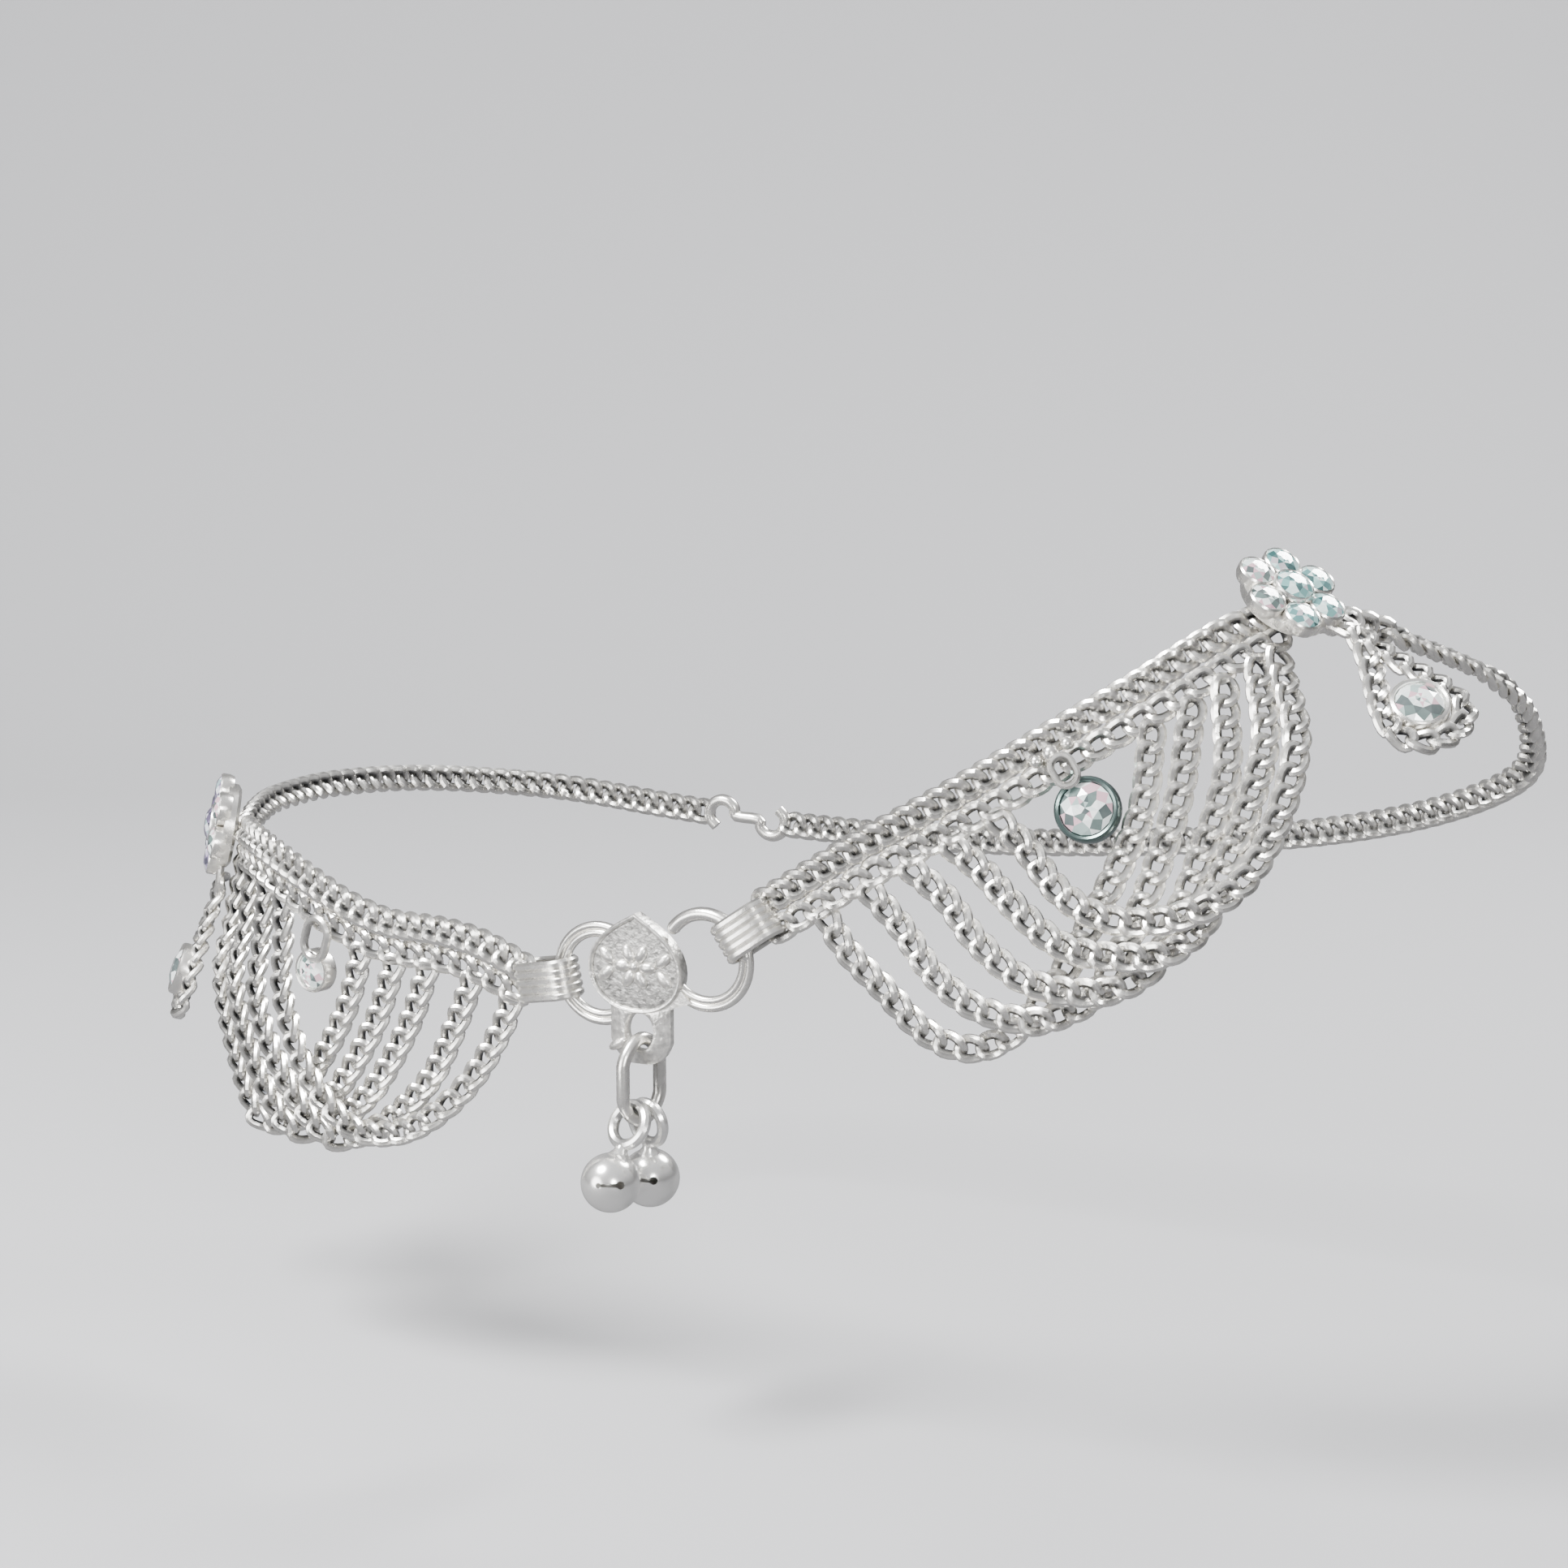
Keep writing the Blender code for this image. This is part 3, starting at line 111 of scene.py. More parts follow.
class Ankle:
    """Form of the ankle that the chains lie on. It is a guide and is never shown."""

    heel_x = -0.028
    heel_radius = 0.024
    swell = 0.0025
    swell_top = 0.004
    swell_height = 0.010
    spread = 0.0024
    spread_length = 0.040
    sole_z = -0.0306
    power = 2.2
    shin_x = -0.015
    ridge_top = 0.24
    ridge_foot = -0.0079
    ridge_fall = 0.002358
    ridge_start = 0.0166
    slope_step = 0.0004
    least_width = 0.0001

    @classmethod
    def ridge(cls, x: float) -> float:
        """Height of the instep's ridge.

        Args:
            x: Place along the foot.

        Returns:
            Its height, far above the anklet behind the shin.
        """
        if x <= cls.shin_x:
            return cls.ridge_top
        return cls.ridge_foot + cls.ridge_fall / (x + cls.ridge_start)

    @classmethod
    def flank(cls, x: float) -> float:
        """Half width of the ankle at its widest."""
        return cls.heel_radius + cls.spread * held((x - cls.heel_x) / cls.spread_length)

    @classmethod
    def half_width(cls, x: float, z: float) -> float:
        """Half width at a height, negative above the instep.

        Args:
            x: Place along the foot.
            z: Height.

        Returns:
            The half width there.
        """
        ridge = cls.ridge(x)
        if z >= ridge:
            return ridge - z
        share = max(0.0, (z - cls.sole_z) / (ridge - cls.sole_z))
        return cls.flank(x) * (1 - share ** cls.power) ** (1 / cls.power)

    @classmethod
    def heel_reach(cls, z: float, angle: float) -> float:
        """Radius of the heel at a height and at an angle round it from its side."""
        share = held((cls.swell_top - z) / cls.swell_height)
        return cls.heel_radius + cls.swell * share * math.sin(angle) ** 2

    @classmethod
    def distance(cls, point: Vector) -> float:
        """Rough distance out from the ankle.

        Args:
            point: Any point.

        Returns:
            The distance, positive outside.
        """
        if point.x >= cls.heel_x:
            return abs(point.y) - cls.half_width(point.x, point.z)
        angle = math.atan2(cls.heel_x - point.x, abs(point.y))
        return math.hypot(point.x - cls.heel_x, point.y) - cls.heel_reach(point.z, angle)

    @classmethod
    def outward(cls, point: Vector) -> Vector:
        """Direction out from the ankle.

        Args:
            point: A point near the ankle.

        Returns:
            Unit vector.
        """
        slopes = []
        for axis in range(3):
            step = Vector((0, 0, 0))
            step[axis] = cls.slope_step
            slopes.append(cls.distance(point + step) - cls.distance(point - step))
        return Vector(slopes).normalized()

    @classmethod
    def on_side(cls, q: float, z: float, lift: float, side: Side = Side.NEAR) -> Vector:
        """Point on the ankle's side.

        Args:
            q: Distance along the side from the leaf plate, in millimetres.
            z: Height, in millimetres.
            lift: Distance out from the ankle, in millimetres.
            side: Near or far side.

        Returns:
            The point in metres.
        """
        q, z = q * MM, z * MM
        if q >= cls.heel_x:
            foot = Vector((q, side.value * max(cls.half_width(q, z), cls.least_width), z))
        else:
            angle = (cls.heel_x - q) / cls.heel_radius
            reach = cls.heel_reach(z, angle)
            foot = Vector((cls.heel_x - reach * math.sin(angle), side.value * reach * math.cos(angle), z))
        return foot + cls.outward(foot) * lift * MM

    @classmethod
    def on_top(cls, x: float, y: float, lift: float) -> Vector:
        """Point on the instep.

        Args:
            x: Place along the foot, in millimetres.
            y: Place across the foot, in millimetres.
            lift: Distance out from the ankle, in millimetres.

        Returns:
            The point in metres.
        """
        x, y = x * MM, y * MM
        share = (1 - (abs(y) / cls.flank(x)) ** cls.power) ** (1 / cls.power)
        foot = Vector((x, y, cls.sole_z + (cls.ridge(x) - cls.sole_z) * share))
        return foot + cls.outward(foot) * lift * MM


def spline(points: Sequence[Vector], pieces: int = 12) -> Route:
    """Smooth curve through points.

    Args:
        points: The chosen points.
        pieces: Steps between two of them.

    Returns:
        A dense list of points.
    """
    ends = [2 * points[0] - points[1], *points, 2 * points[-1] - points[-2]]
    dense = []
    for a, b, c, d in zip(ends, ends[1:], ends[2:], ends[3:]):
        for i in range(pieces):
            t = i / pieces
            dense.append(0.5 * (2 * b + (c - a) * t + (2 * a - 5 * b + 4 * c - d) * t ** 2
                                + (3 * b - a - 3 * c + d) * t ** 3))
    dense.append(points[-1].copy())
    return dense


def length_of(points: Sequence[Vector]) -> float:
    """Length of a polyline."""
    return sum((b - a).length for a, b in zip(points, points[1:]))


def frame_at(centre: Vector, along: Vector, out: Vector) -> Matrix:
    """Matrix at a point.

    Args:
        centre: Its origin.
        along: Direction of its X axis.
        out: Direction that its Z axis leans to.

    Returns:
        The matrix.
    """
    x = along.normalized()
    z = (out - x * out.dot(x)).normalized()
    return Matrix.Translation(centre) @ Matrix((x, z.cross(x), z)).transposed().to_4x4()


def aside(dense: Route, drop: float) -> Route:
    """Route moved down across itself.

    Args:
        dense: Points (q, z) in millimetres.
        drop: Distance, in millimetres.

    Returns:
        The moved points.
    """
    moved = []
    for i, spot in enumerate(dense):
        run = (dense[min(i + 1, len(dense) - 1)] - dense[max(i - 1, 0)]).normalized()
        down = Vector((run.y, -run.x)) if run.x > 0 else Vector((-run.y, run.x))
        moved.append(spot + down * drop)
    return moved


def at_q(route: Route, q: float) -> Vector:
    """Point of a (q, z) route.

    Args:
        route: Its points.
        q: Distance along the side.

    Returns:
        The point there, or the nearer end.
    """
    for a, b in zip(route, route[1:]):
        if (a.x - q) * (b.x - q) <= 0 and a.x != b.x:
            return a.lerp(b, (q - a.x) / (b.x - a.x))
    return min((route[0], route[-1]), key=lambda p: abs(p.x - q))


@dataclass
class Wiring:
    """A node tree whose nodes go by short names."""

    tree: bpy.types.NodeTree
    nodes: dict[str, bpy.types.Node] = field(default_factory=dict)

    def put(self, name: str, node: bpy.types.Node, values: Values | None = None) -> bpy.types.Node:
        """Keep a node and set inputs of it.

        Args:
            name: Its short name.
            node: The node.
            values: Values of its inputs, by the socket's name or number.

        Returns:
            The node.
        """
        self.nodes[name] = node
        for socket, value in (values or {}).items():
            node.inputs[self._key(socket)].default_value = value
        return node

    def add(self, name: str, kind: str, values: Values | None = None) -> bpy.types.Node:
        """Put a new node of a kind, with values of its inputs."""
        return self.put(name, self.tree.nodes.new(kind), values)

    def use(self, name: str, group: bpy.types.NodeTree, values: Values) -> None:
        """Put a node group.

        Args:
            name: Short name of its node.
            group: The group.
            values: Values of its inputs.
        """
        node = self.tree.nodes.new("ShaderNodeGroup")
        node.node_tree = group
        self.put(name, node, values)

    def mix(self, name: str, first: Triple | None = None, second: Triple | None = None) -> None:
        """Put a colour mix: input 0 is its share, 6 and 7 its colours, and output 2 its result.

        Args:
            name: Its short name.
            first: First colour, where it isn't linked.
            second: Second colour, where it isn't linked.
        """
        node = self.add(name, "ShaderNodeMix")
        node.data_type = "RGBA"
        for number, colour in ((6, first), (7, second)):
            if colour:
                node.inputs[number].default_value = (*colour, 1)

    def link(self, *pairs: str) -> None:
        """Link sockets.

        Args:
            pairs: Each "node.Socket > node.Socket", with a socket's name or number.
        """
        for pair in pairs:
            (start, given), (end, taken) = (spot.split(".") for spot in pair.split(" > "))
            source = self.nodes[start].outputs[self._key(given)]
            target = self.nodes[end].inputs[self._key(taken)]
            self.tree.links.new(source, target)

    @staticmethod
    def _key(socket: str) -> str | int:
        """Name or number of a socket."""
        return int(socket) if socket.isdigit() else socket

    @classmethod
    def group(cls, name: str, kind: str, inputs: dict[str, str], outputs: dict[str, str]) -> "Wiring":
        """New node group with its sockets and the nodes source and result.

        Args:
            name: Its name.
            kind: Its tree type.
            inputs: Socket type of each input.
            outputs: Socket type of each output.

        Returns:
            Its wiring.
        """
        made = cls(bpy.data.node_groups.new(name, kind))
        for in_out, sockets in (("INPUT", inputs), ("OUTPUT", outputs)):
            for label, socket in sockets.items():
                made.tree.interface.new_socket(label, in_out=in_out, socket_type="NodeSocket" + socket)
        made.add("source", "NodeGroupInput")
        made.add("result", "NodeGroupOutput")
        return made


@dataclass(frozen=True)
class Finish:
    """A finish and the record slot that it stands for."""

    slot: str
    colour: Triple
    roughness: float
    metallic: float
    transmission: float = 0.0
    ior: float = 1.5
    grain: float = 0.0
    mottle: float = 0.0
    # Facet colours of a cut stone: its own tint with painted glints and dark painted reflections.
    facets: Triples = ()
    name: str = ""
    # Dark colour of the painted shade in hollows and on lower sides, and of the random spots.
    soiled: Triple = (0.015, 0.016, 0.018)

    def make(self, kit: "FinishKit") -> bpy.types.Material:
        """Build the material.

        Args:
            kit: The shared shader groups.

        Returns:
            The material.
        """
        made = bpy.data.materials.new(self.name or self.slot)
        made.use_nodes = True
        wiring = Wiring(made.node_tree)
        colour = (*self.colour, 1)
        shader = made.node_tree.nodes["Principled BSDF"]
        wiring.put("shader", shader, {"Base Color": colour, "Roughness": self.roughness, "IOR": self.ior,
                                      "Metallic": self.metallic, "Transmission Weight": self.transmission})
        if self.grain:
            wiring.use("wear", kit.grain, {"Roughness": self.roughness, "Depth": self.grain * MM})
            # Painted shade from the mesh's painted shade value, with random dark spots.
            wiring.use("soil", kit.tarnish,
                       {"Clean": colour, "Soiled": (*self.soiled, 1), "Mottle": self.mottle})
            wiring.add("mark", "ShaderNodeAttribute").attribute_name = "tarnish"
            wiring.link("wear.Roughness > shader.Roughness", "wear.Normal > shader.Normal",
                        "mark.Fac > soil.Tarnish", "soil.Colour > shader.Base Color")
        # Facet colours: the stone's tint with painted glints and reflections.
        if self.facets:
            wiring.use("fire", kit.fire, {"Body": colour})
            wiring.add("mark", "ShaderNodeAttribute").attribute_name = "facet"
            wiring.link("mark.Color > fire.Facet", "fire.Colour > shader.Base Color")
            wiring.put("shader", shader, {"Coat Weight": 1.0, "Coat Roughness": 0.02})
        return made


class FinishKit:
    """Shader groups shared by the finishes."""

    def __init__(self) -> None:
        """Build the groups."""
        self.grain = self._grain()
        self.fire = self._fire()
        self.tarnish = self._painted_shade()

    @staticmethod
    def _grain() -> bpy.types.NodeTree:
        """Fine cast grain: uneven roughness and a shallow bump.

        Returns:
            The group.
        """
        made = Wiring.group("CastGrain", "ShaderNodeTree", {"Roughness": "Float", "Depth": "Float"},
                            {"Roughness": "Float", "Normal": "Vector"})
        made.add("place", "ShaderNodeTexCoord")
        made.add("fine", "ShaderNodeTexNoise", {"Scale": 2600, "Detail": 3})
        made.add("broad", "ShaderNodeTexNoise", {"Scale": 420})
        made.add("spread", "ShaderNodeMapRange", {"To Min": -0.07, "To Max": 0.09})
        made.add("total", "ShaderNodeMath")
        made.add("bump", "ShaderNodeBump")
        made.link("place.Object > fine.Vector", "place.Object > broad.Vector", "broad.Fac > spread.Value",
                  "source.Roughness > total.0", "spread.Result > total.1", "total.Value > result.Roughness",
                  "source.Depth > bump.Distance", "fine.Fac > bump.Height", "bump.Normal > result.Normal")
        return made.tree

    @staticmethod
    def _painted_shade() -> bpy.types.NodeTree:
        """Silver darkened by painted shade where the mesh's painted shade value is high, unevenly, and with
        small dark spots at random.

        Returns:
            The group.
        """
        made = Wiring.group("Tarnish", "ShaderNodeTree",
                            {"Clean": "Color", "Soiled": "Color", "Tarnish": "Float", "Mottle": "Float"},
                            {"Colour": "Color"})
        made.add("place", "ShaderNodeTexCoord")
        made.add("uneven", "ShaderNodeTexNoise", {"Scale": 700})
        made.add("share", "ShaderNodeMapRange", {"To Min": 0.75, "To Max": 1.15})
        made.add("weight", "ShaderNodeMath").operation = "MULTIPLY"
        made.add("spots", "ShaderNodeTexNoise", {"Scale": 1900, "Detail": 4})
        made.add("spotted", "ShaderNodeMapRange", {"From Min": 0.42, "From Max": 0.68})
        made.add("dull", "ShaderNodeMath").operation = "MULTIPLY"
        made.add("total", "ShaderNodeMath").use_clamp = True
        made.mix("mix")
        made.link("place.Object > uneven.Vector", "uneven.Fac > share.Value", "share.Result > weight.0",
                  "source.Tarnish > weight.1", "place.Object > spots.Vector", "spots.Fac > spotted.Value",
                  "spotted.Result > dull.0", "source.Mottle > dull.1", "weight.Value > total.0",
                  "dull.Value > total.1", "total.Value > mix.0", "source.Clean > mix.6",
                  "source.Soiled > mix.7", "mix.2 > result.Colour")
        return made.tree

    @staticmethod
    def _fire() -> bpy.types.NodeTree:
        """Colour of each facet of a cut stone, its tint with painted glints and reflections, clouded a
        little by its body.

        Returns:
            The group.
        """
        made = Wiring.group("StoneFire", "ShaderNodeTree", {"Facet": "Color", "Body": "Color"},
                            {"Colour": "Color"})
        made.add("place", "ShaderNodeTexCoord")
        made.add("cloud", "ShaderNodeTexNoise", {"Scale": 900})
        made.add("share", "ShaderNodeMapRange", {"To Min": 0.85, "To Max": 1.0})
        made.mix("mix")
        made.link("place.Object > cloud.Vector", "cloud.Fac > share.Value", "share.Result > mix.0",
                  "source.Body > mix.6", "source.Facet > mix.7", "mix.2 > result.Colour")
        return made.tree


SATIN = Finish("satin_silver", (0.94, 0.92, 0.872), 0.26, 0.95, grain=0.015, mottle=0.10)
STRUCK = Finish("satin_silver", (0.92, 0.90, 0.855), 0.34, 0.92, grain=0.06, mottle=0.34,
                name="struck_silver")
BRIGHT = Finish("bright_silver", (0.96, 0.95, 0.92), 0.21, 0.86, grain=0.002, mottle=0.04)
# Facet colours: the stone's tint with painted glints and dark painted reflections.
CLEAR = Finish("clear_stone", (0.80, 0.88, 0.87), 0.03, 0.0, transmission=0.10, ior=1.9, facets=(
    (0.90, 0.95, 0.94), (0.34, 0.45, 0.43), (0.02, 0.04, 0.04), (0.74, 0.84, 0.82), (0.66, 0.38, 0.45),
    (0.07, 0.12, 0.11), (0.94, 0.97, 0.96)))
AQUA = Finish("aqua_stone", (0.40, 0.66, 0.65), 0.03, 0.0, transmission=0.10, ior=1.8, facets=(
    (0.62, 0.85, 0.83), (0.14, 0.34, 0.33), (0.01, 0.06, 0.06), (0.36, 0.62, 0.60), (0.07, 0.20, 0.20),
    (0.50, 0.44, 0.48), (0.80, 0.93, 0.92)))
# Darker, violet copy of the aqua stone for the heel flower, which is seen edge-on: painted shade.
AQUA_SHADED = Finish("aqua_stone", (0.30, 0.28, 0.36), 0.03, 0.0, transmission=0.10, ior=1.8, facets=(
    (0.10, 0.08, 0.14), (0.42, 0.38, 0.50), (0.03, 0.03, 0.05), (0.72, 0.74, 0.80), (0.18, 0.15, 0.24),
    (0.30, 0.42, 0.44)), name="aqua_stone_shaded")
BEZEL = Finish("satin_silver", (0.13, 0.18, 0.17), 0.24, 0.9, name="dark_bezel")
FINISHES = (SATIN, STRUCK, BRIGHT, CLEAR, AQUA, AQUA_SHADED, BEZEL)


@dataclass(frozen=True)
class LinkStyle:
    """Size and pitch of a curb link, its roll about the chain, and the flatness and painted shade of its
    wire.
    """

    length: float
    width: float
    wire: float
    pitch: float
    rise: float
    roll: float
    flat: float
    # How dark the painted shade on the wire's inner side is.
    soil: float = 0.9
    end_power: float = 0.9
    side_power: float = 0.75
    segments: int = 16
    sides: int = 8


STRAND_LINK = LinkStyle(0.00302, 0.00240, 0.00080, 0.00178, 0.00032, math.radians(5), 0.82)
LOWER_LINK = LinkStyle(0.00304, 0.00244, 0.00082, 0.00184, 0.00032, math.radians(4), 0.82)
BAND_LINK = LinkStyle(0.00292, 0.00264, 0.00090, 0.00150, 0.00040, math.radians(22), 0.82)
PENDANT_LINK = LinkStyle(0.00285, 0.00215, 0.00080, 0.00178, 0.00034, math.radians(-8), 0.80)


class Workshop:
    """Makes meshes, gives them a finish and seats them on the CAD frame."""

    def __init__(self) -> None:
        """Make the finishes and the tree that sets links."""
        kit = FinishKit()
        self.finishes = {finish: finish.make(kit) for finish in FINISHES}
        self.link_tree = self._link_tree()

    def mesh(self, name: str, build: Build, finish: Finish, sharp: float = 35) -> bpy.types.Object:
        """New object from a build function.

        Args:
            name: The object's name.
            build: Function that fills a bmesh.
            finish: Its finish.
            sharp: Angle in degrees over which edges stay sharp.

        Returns:
            The object.
        """
        bm = bmesh.new()
        build(bm)
        bmesh.ops.recalc_face_normals(bm, faces=bm.faces)
        data = bpy.data.meshes.new(name)
        bm.to_mesh(data)
        bm.free()
        data.materials.append(self.finishes[finish])
        data.shade_smooth()
        data.set_sharp_from_angle(angle=math.radians(sharp))
        made = bpy.data.objects.new(name, data)
        bpy.context.scene.collection.objects.link(made)
        return made

    def seat(self, piece: bpy.types.Object, finish: Finish, *nodes: str, body: str = "anklet") -> None:
        """Put a finished piece on its body in place of CAD nodes.

        Args:
            piece: The piece.
            finish: Its finish. It is not used.
            nodes: CAD nodes that it replaces.
            body: CAD body that it rides on.
        """
        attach(piece, body)
        if nodes:
            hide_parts(*nodes)
        LOG.info("%s: %d faces on %s in place of %s", piece.name, len(piece.data.polygons), body, nodes)

    def piece(self, name: str, build: Build, finish: Finish, *nodes: str, body: str = "anklet",
              sharp: float = 35) -> None:
        """Build a mesh and seat it. The arguments are those of mesh and seat."""
        self.seat(self.mesh(name, build, finish, sharp), finish, *nodes, body=body)

    @staticmethod
    def _link_tree() -> bpy.types.NodeTree:
        """Geometry nodes that set links along a line, turned by its out attribute.

        Returns:
            The node tree.
        """
        made = Wiring.group("LinksAlongLine", "GeometryNodeTree", {
            "Line": "Geometry", "Link": "Object", "Count": "Int", "Roll": "Float", "Silver": "Material"},
            {"Links": "Geometry"})
        made.add("curve", "GeometryNodeMeshToCurve")
        made.add("even", "GeometryNodeResampleCurve").mode = "COUNT"
        made.add("points", "GeometryNodeCurveToPoints").mode = "EVALUATED"
        made.add("along", "FunctionNodeAlignRotationToVector").axis = "X"
        made.add("out", "GeometryNodeInputNamedAttribute", {"Name": "out"}).data_type = "FLOAT_VECTOR"
        facing = made.add("facing", "FunctionNodeAlignRotationToVector")
        facing.axis = "Z"
        facing.pivot_axis = "X"
        made.add("angles", "ShaderNodeCombineXYZ")
        made.add("turn", "FunctionNodeEulerToRotation")
        made.add("rolled", "FunctionNodeRotateRotation").rotation_space = "LOCAL"
        made.add("info", "GeometryNodeObjectInfo")
        made.add("placed", "GeometryNodeInstanceOnPoints")
        made.add("real", "GeometryNodeRealizeInstances")
        made.add("silver", "GeometryNodeSetMaterial")
        made.link("source.Line > curve.Mesh", "curve.Curve > even.Curve", "source.Count > even.Count",
                  "even.Curve > points.Curve", "points.Tangent > along.Vector",
                  "along.Rotation > facing.Rotation", "out.Attribute > facing.Vector",
                  "source.Roll > angles.X", "angles.Vector > turn.Euler",
                  "facing.Rotation > rolled.Rotation", "turn.Rotation > rolled.Rotate By",
                  "source.Link > info.Object",
                  "points.Points > placed.Points", "info.Geometry > placed.Instance",
                  "rolled.Rotation > placed.Rotation", "placed.Instances > real.Geometry",
                  "real.Geometry > silver.Geometry", "source.Silver > silver.Material",
                  "silver.Geometry > result.Links")
        return made.tree

    def links(self, name: str, route: Route, facing: Route, style: LinkStyle, node: str,
              closed: bool = False) -> None:
        """Set links along a route, make them one plain mesh and seat it.

        Args:
            name: The chain's name.
            route: Its centreline.
            facing: Direction out at each point.
            style: Size and pitch of its links.
            node: CAD node that it replaces.
            closed: Whether the route is a loop.
        """
        data = bpy.data.meshes.new(name)
        edges = [(i, i + 1) for i in range(len(route) - 1)]
        if closed:
            edges.append((len(route) - 1, 0))
        data.from_pydata([tuple(p) for p in route], edges, [])
        for spot, way in zip(data.attributes.new("out", "FLOAT_VECTOR", "POINT").data, facing):
            spot.vector = way
        line = bpy.data.objects.new(name + "_line", data)
        bpy.context.scene.collection.objects.link(line)
        link = self.mesh("link", lambda bm: add_curb_link(bm, style), SATIN)
        total = length_of(route) + ((route[0] - route[-1]).length if closed else 0)
        count = max(3, round(total / style.pitch) + (0 if closed else 1))
        step = line.modifiers.new("Links", "NODES")
        step.node_group = self.link_tree
        values = {"Link": link, "Count": count, "Roll": style.roll, "Silver": self.finishes[SATIN]}
        for item in self.link_tree.interface.items_tree:
            if item.item_type == "SOCKET" and item.name in values:
                step[item.identifier] = values[item.name]
        bpy.context.view_layer.update()
        graph = bpy.context.evaluated_depsgraph_get()
        shape = bpy.data.meshes.new_from_object(line.evaluated_get(graph))
        shape.shade_smooth()
        chain = bpy.data.objects.new(name, shape)
        bpy.context.scene.collection.objects.link(chain)
        bpy.data.objects.remove(line)
        bpy.data.objects.remove(link)
        self.seat(chain, SATIN, node)


def painted_shade_marks(bm: BMesh) -> bmesh.types.BMLayerItem:
    """The mesh's painted shade values, one for each point."""
    return bm.verts.layers.float.get("tarnish") or bm.verts.layers.float.new("tarnish")


def skin(bm: BMesh, rings: Sequence[Ring], capped: bool = False) -> None:
    """Join rings of corners with faces.

    Args:
        bm: The mesh to add to.
        rings: Rings of as many corners each.
        capped: Whether the first and the last ring are closed.
    """
    for a, b in zip(rings, rings[1:]):
        for i in range(len(a)):
            j = (i + 1) % len(a)
            bm.faces.new((a[i], a[j], b[j], b[i]))
    if capped:
        bm.faces.new(rings[0])
        bm.faces.new(rings[-1])


def disc(radius: float, sides: int) -> Pairs:
    """Round section of a wire."""
    turns = [2 * math.pi * (k + 0.5) / sides for k in range(sides)]
    return tuple((radius * math.cos(a), radius * math.sin(a)) for a in turns)


def sweep(bm: BMesh, centres: Route, high: Vector, section: Pairs, closed: bool, soil: float = 0.0) -> None:
    """Sweep a section along centres, and paint shade on its inner and lower sides.

    Args:
        bm: The mesh to add to.
        centres: The section's places.
        high: Direction of the section's second coordinate.
        section: Points (across, up).
        closed: Whether the path is a loop.
        soil: How dark the painted shade on its inner side is.
    """
    marks = painted_shade_marks(bm)
    half = max(abs(u) for u, _ in section)
    top = max(abs(v) for _, v in section)
    # Painted shade on the inner and lower sides of the wire.
    shade_values = [soil * (max(-u / half, 0.0) + LOWER_SHADE * max(-v / top, 0.0)) for u, v in section]
    count = len(centres)
    rings = []
    for i in range(count):
        ahead = centres[(i + 1) % count] if closed or i < count - 1 else centres[i]
        behind = centres[i - 1] if closed or i > 0 else centres[i]
        tangent = (ahead - behind).normalized()
        across = tangent.cross(high).normalized()
        up = across.cross(tangent)
        rings.append([bm.verts.new(centres[i] + across * u + up * v) for u, v in section])
        for corner, value in zip(rings[-1], shade_values):
            corner[marks] = value
    skin(bm, rings + rings[:1] if closed else rings, not closed)


def add_bead(bm: BMesh, place: Matrix, radius: float, stretch: Triple = (1, 1, 1), around: int = 12,
             up: int = 8) -> None:
    """Add a ball, or an ellipsoid where stretch differs along the axes of its matrix."""
    bmesh.ops.create_uvsphere(bm, u_segments=around, v_segments=up, radius=radius,
                              matrix=place @ Matrix.Diagonal((*stretch, 1)))


def add_turned(bm: BMesh, profile: Sequence[Pair], facets: int, place: Matrix) -> None:
    """Add a turned solid.

    Args:
        bm: The mesh to add to.
        profile: Pairs (radius, height), from end to end. A last radius of 0 closes to a point.
        facets: Its corners round.
        place: Its matrix.
    """
    turns = [2 * math.pi * k / facets for k in range(facets)]
    rings = [[bm.verts.new(place @ polar(radius, a, height)) for a in turns]
             for radius, height in profile if radius]
    skin(bm, rings)
    bm.faces.new(rings[0])
    if profile[-1][0]:
        bm.faces.new(rings[-1])
        return
    tip = bm.verts.new(place @ Vector((0, 0, profile[-1][1])))
    for k in range(facets):
        bm.faces.new((rings[-1][k], rings[-1][(k + 1) % facets], tip))


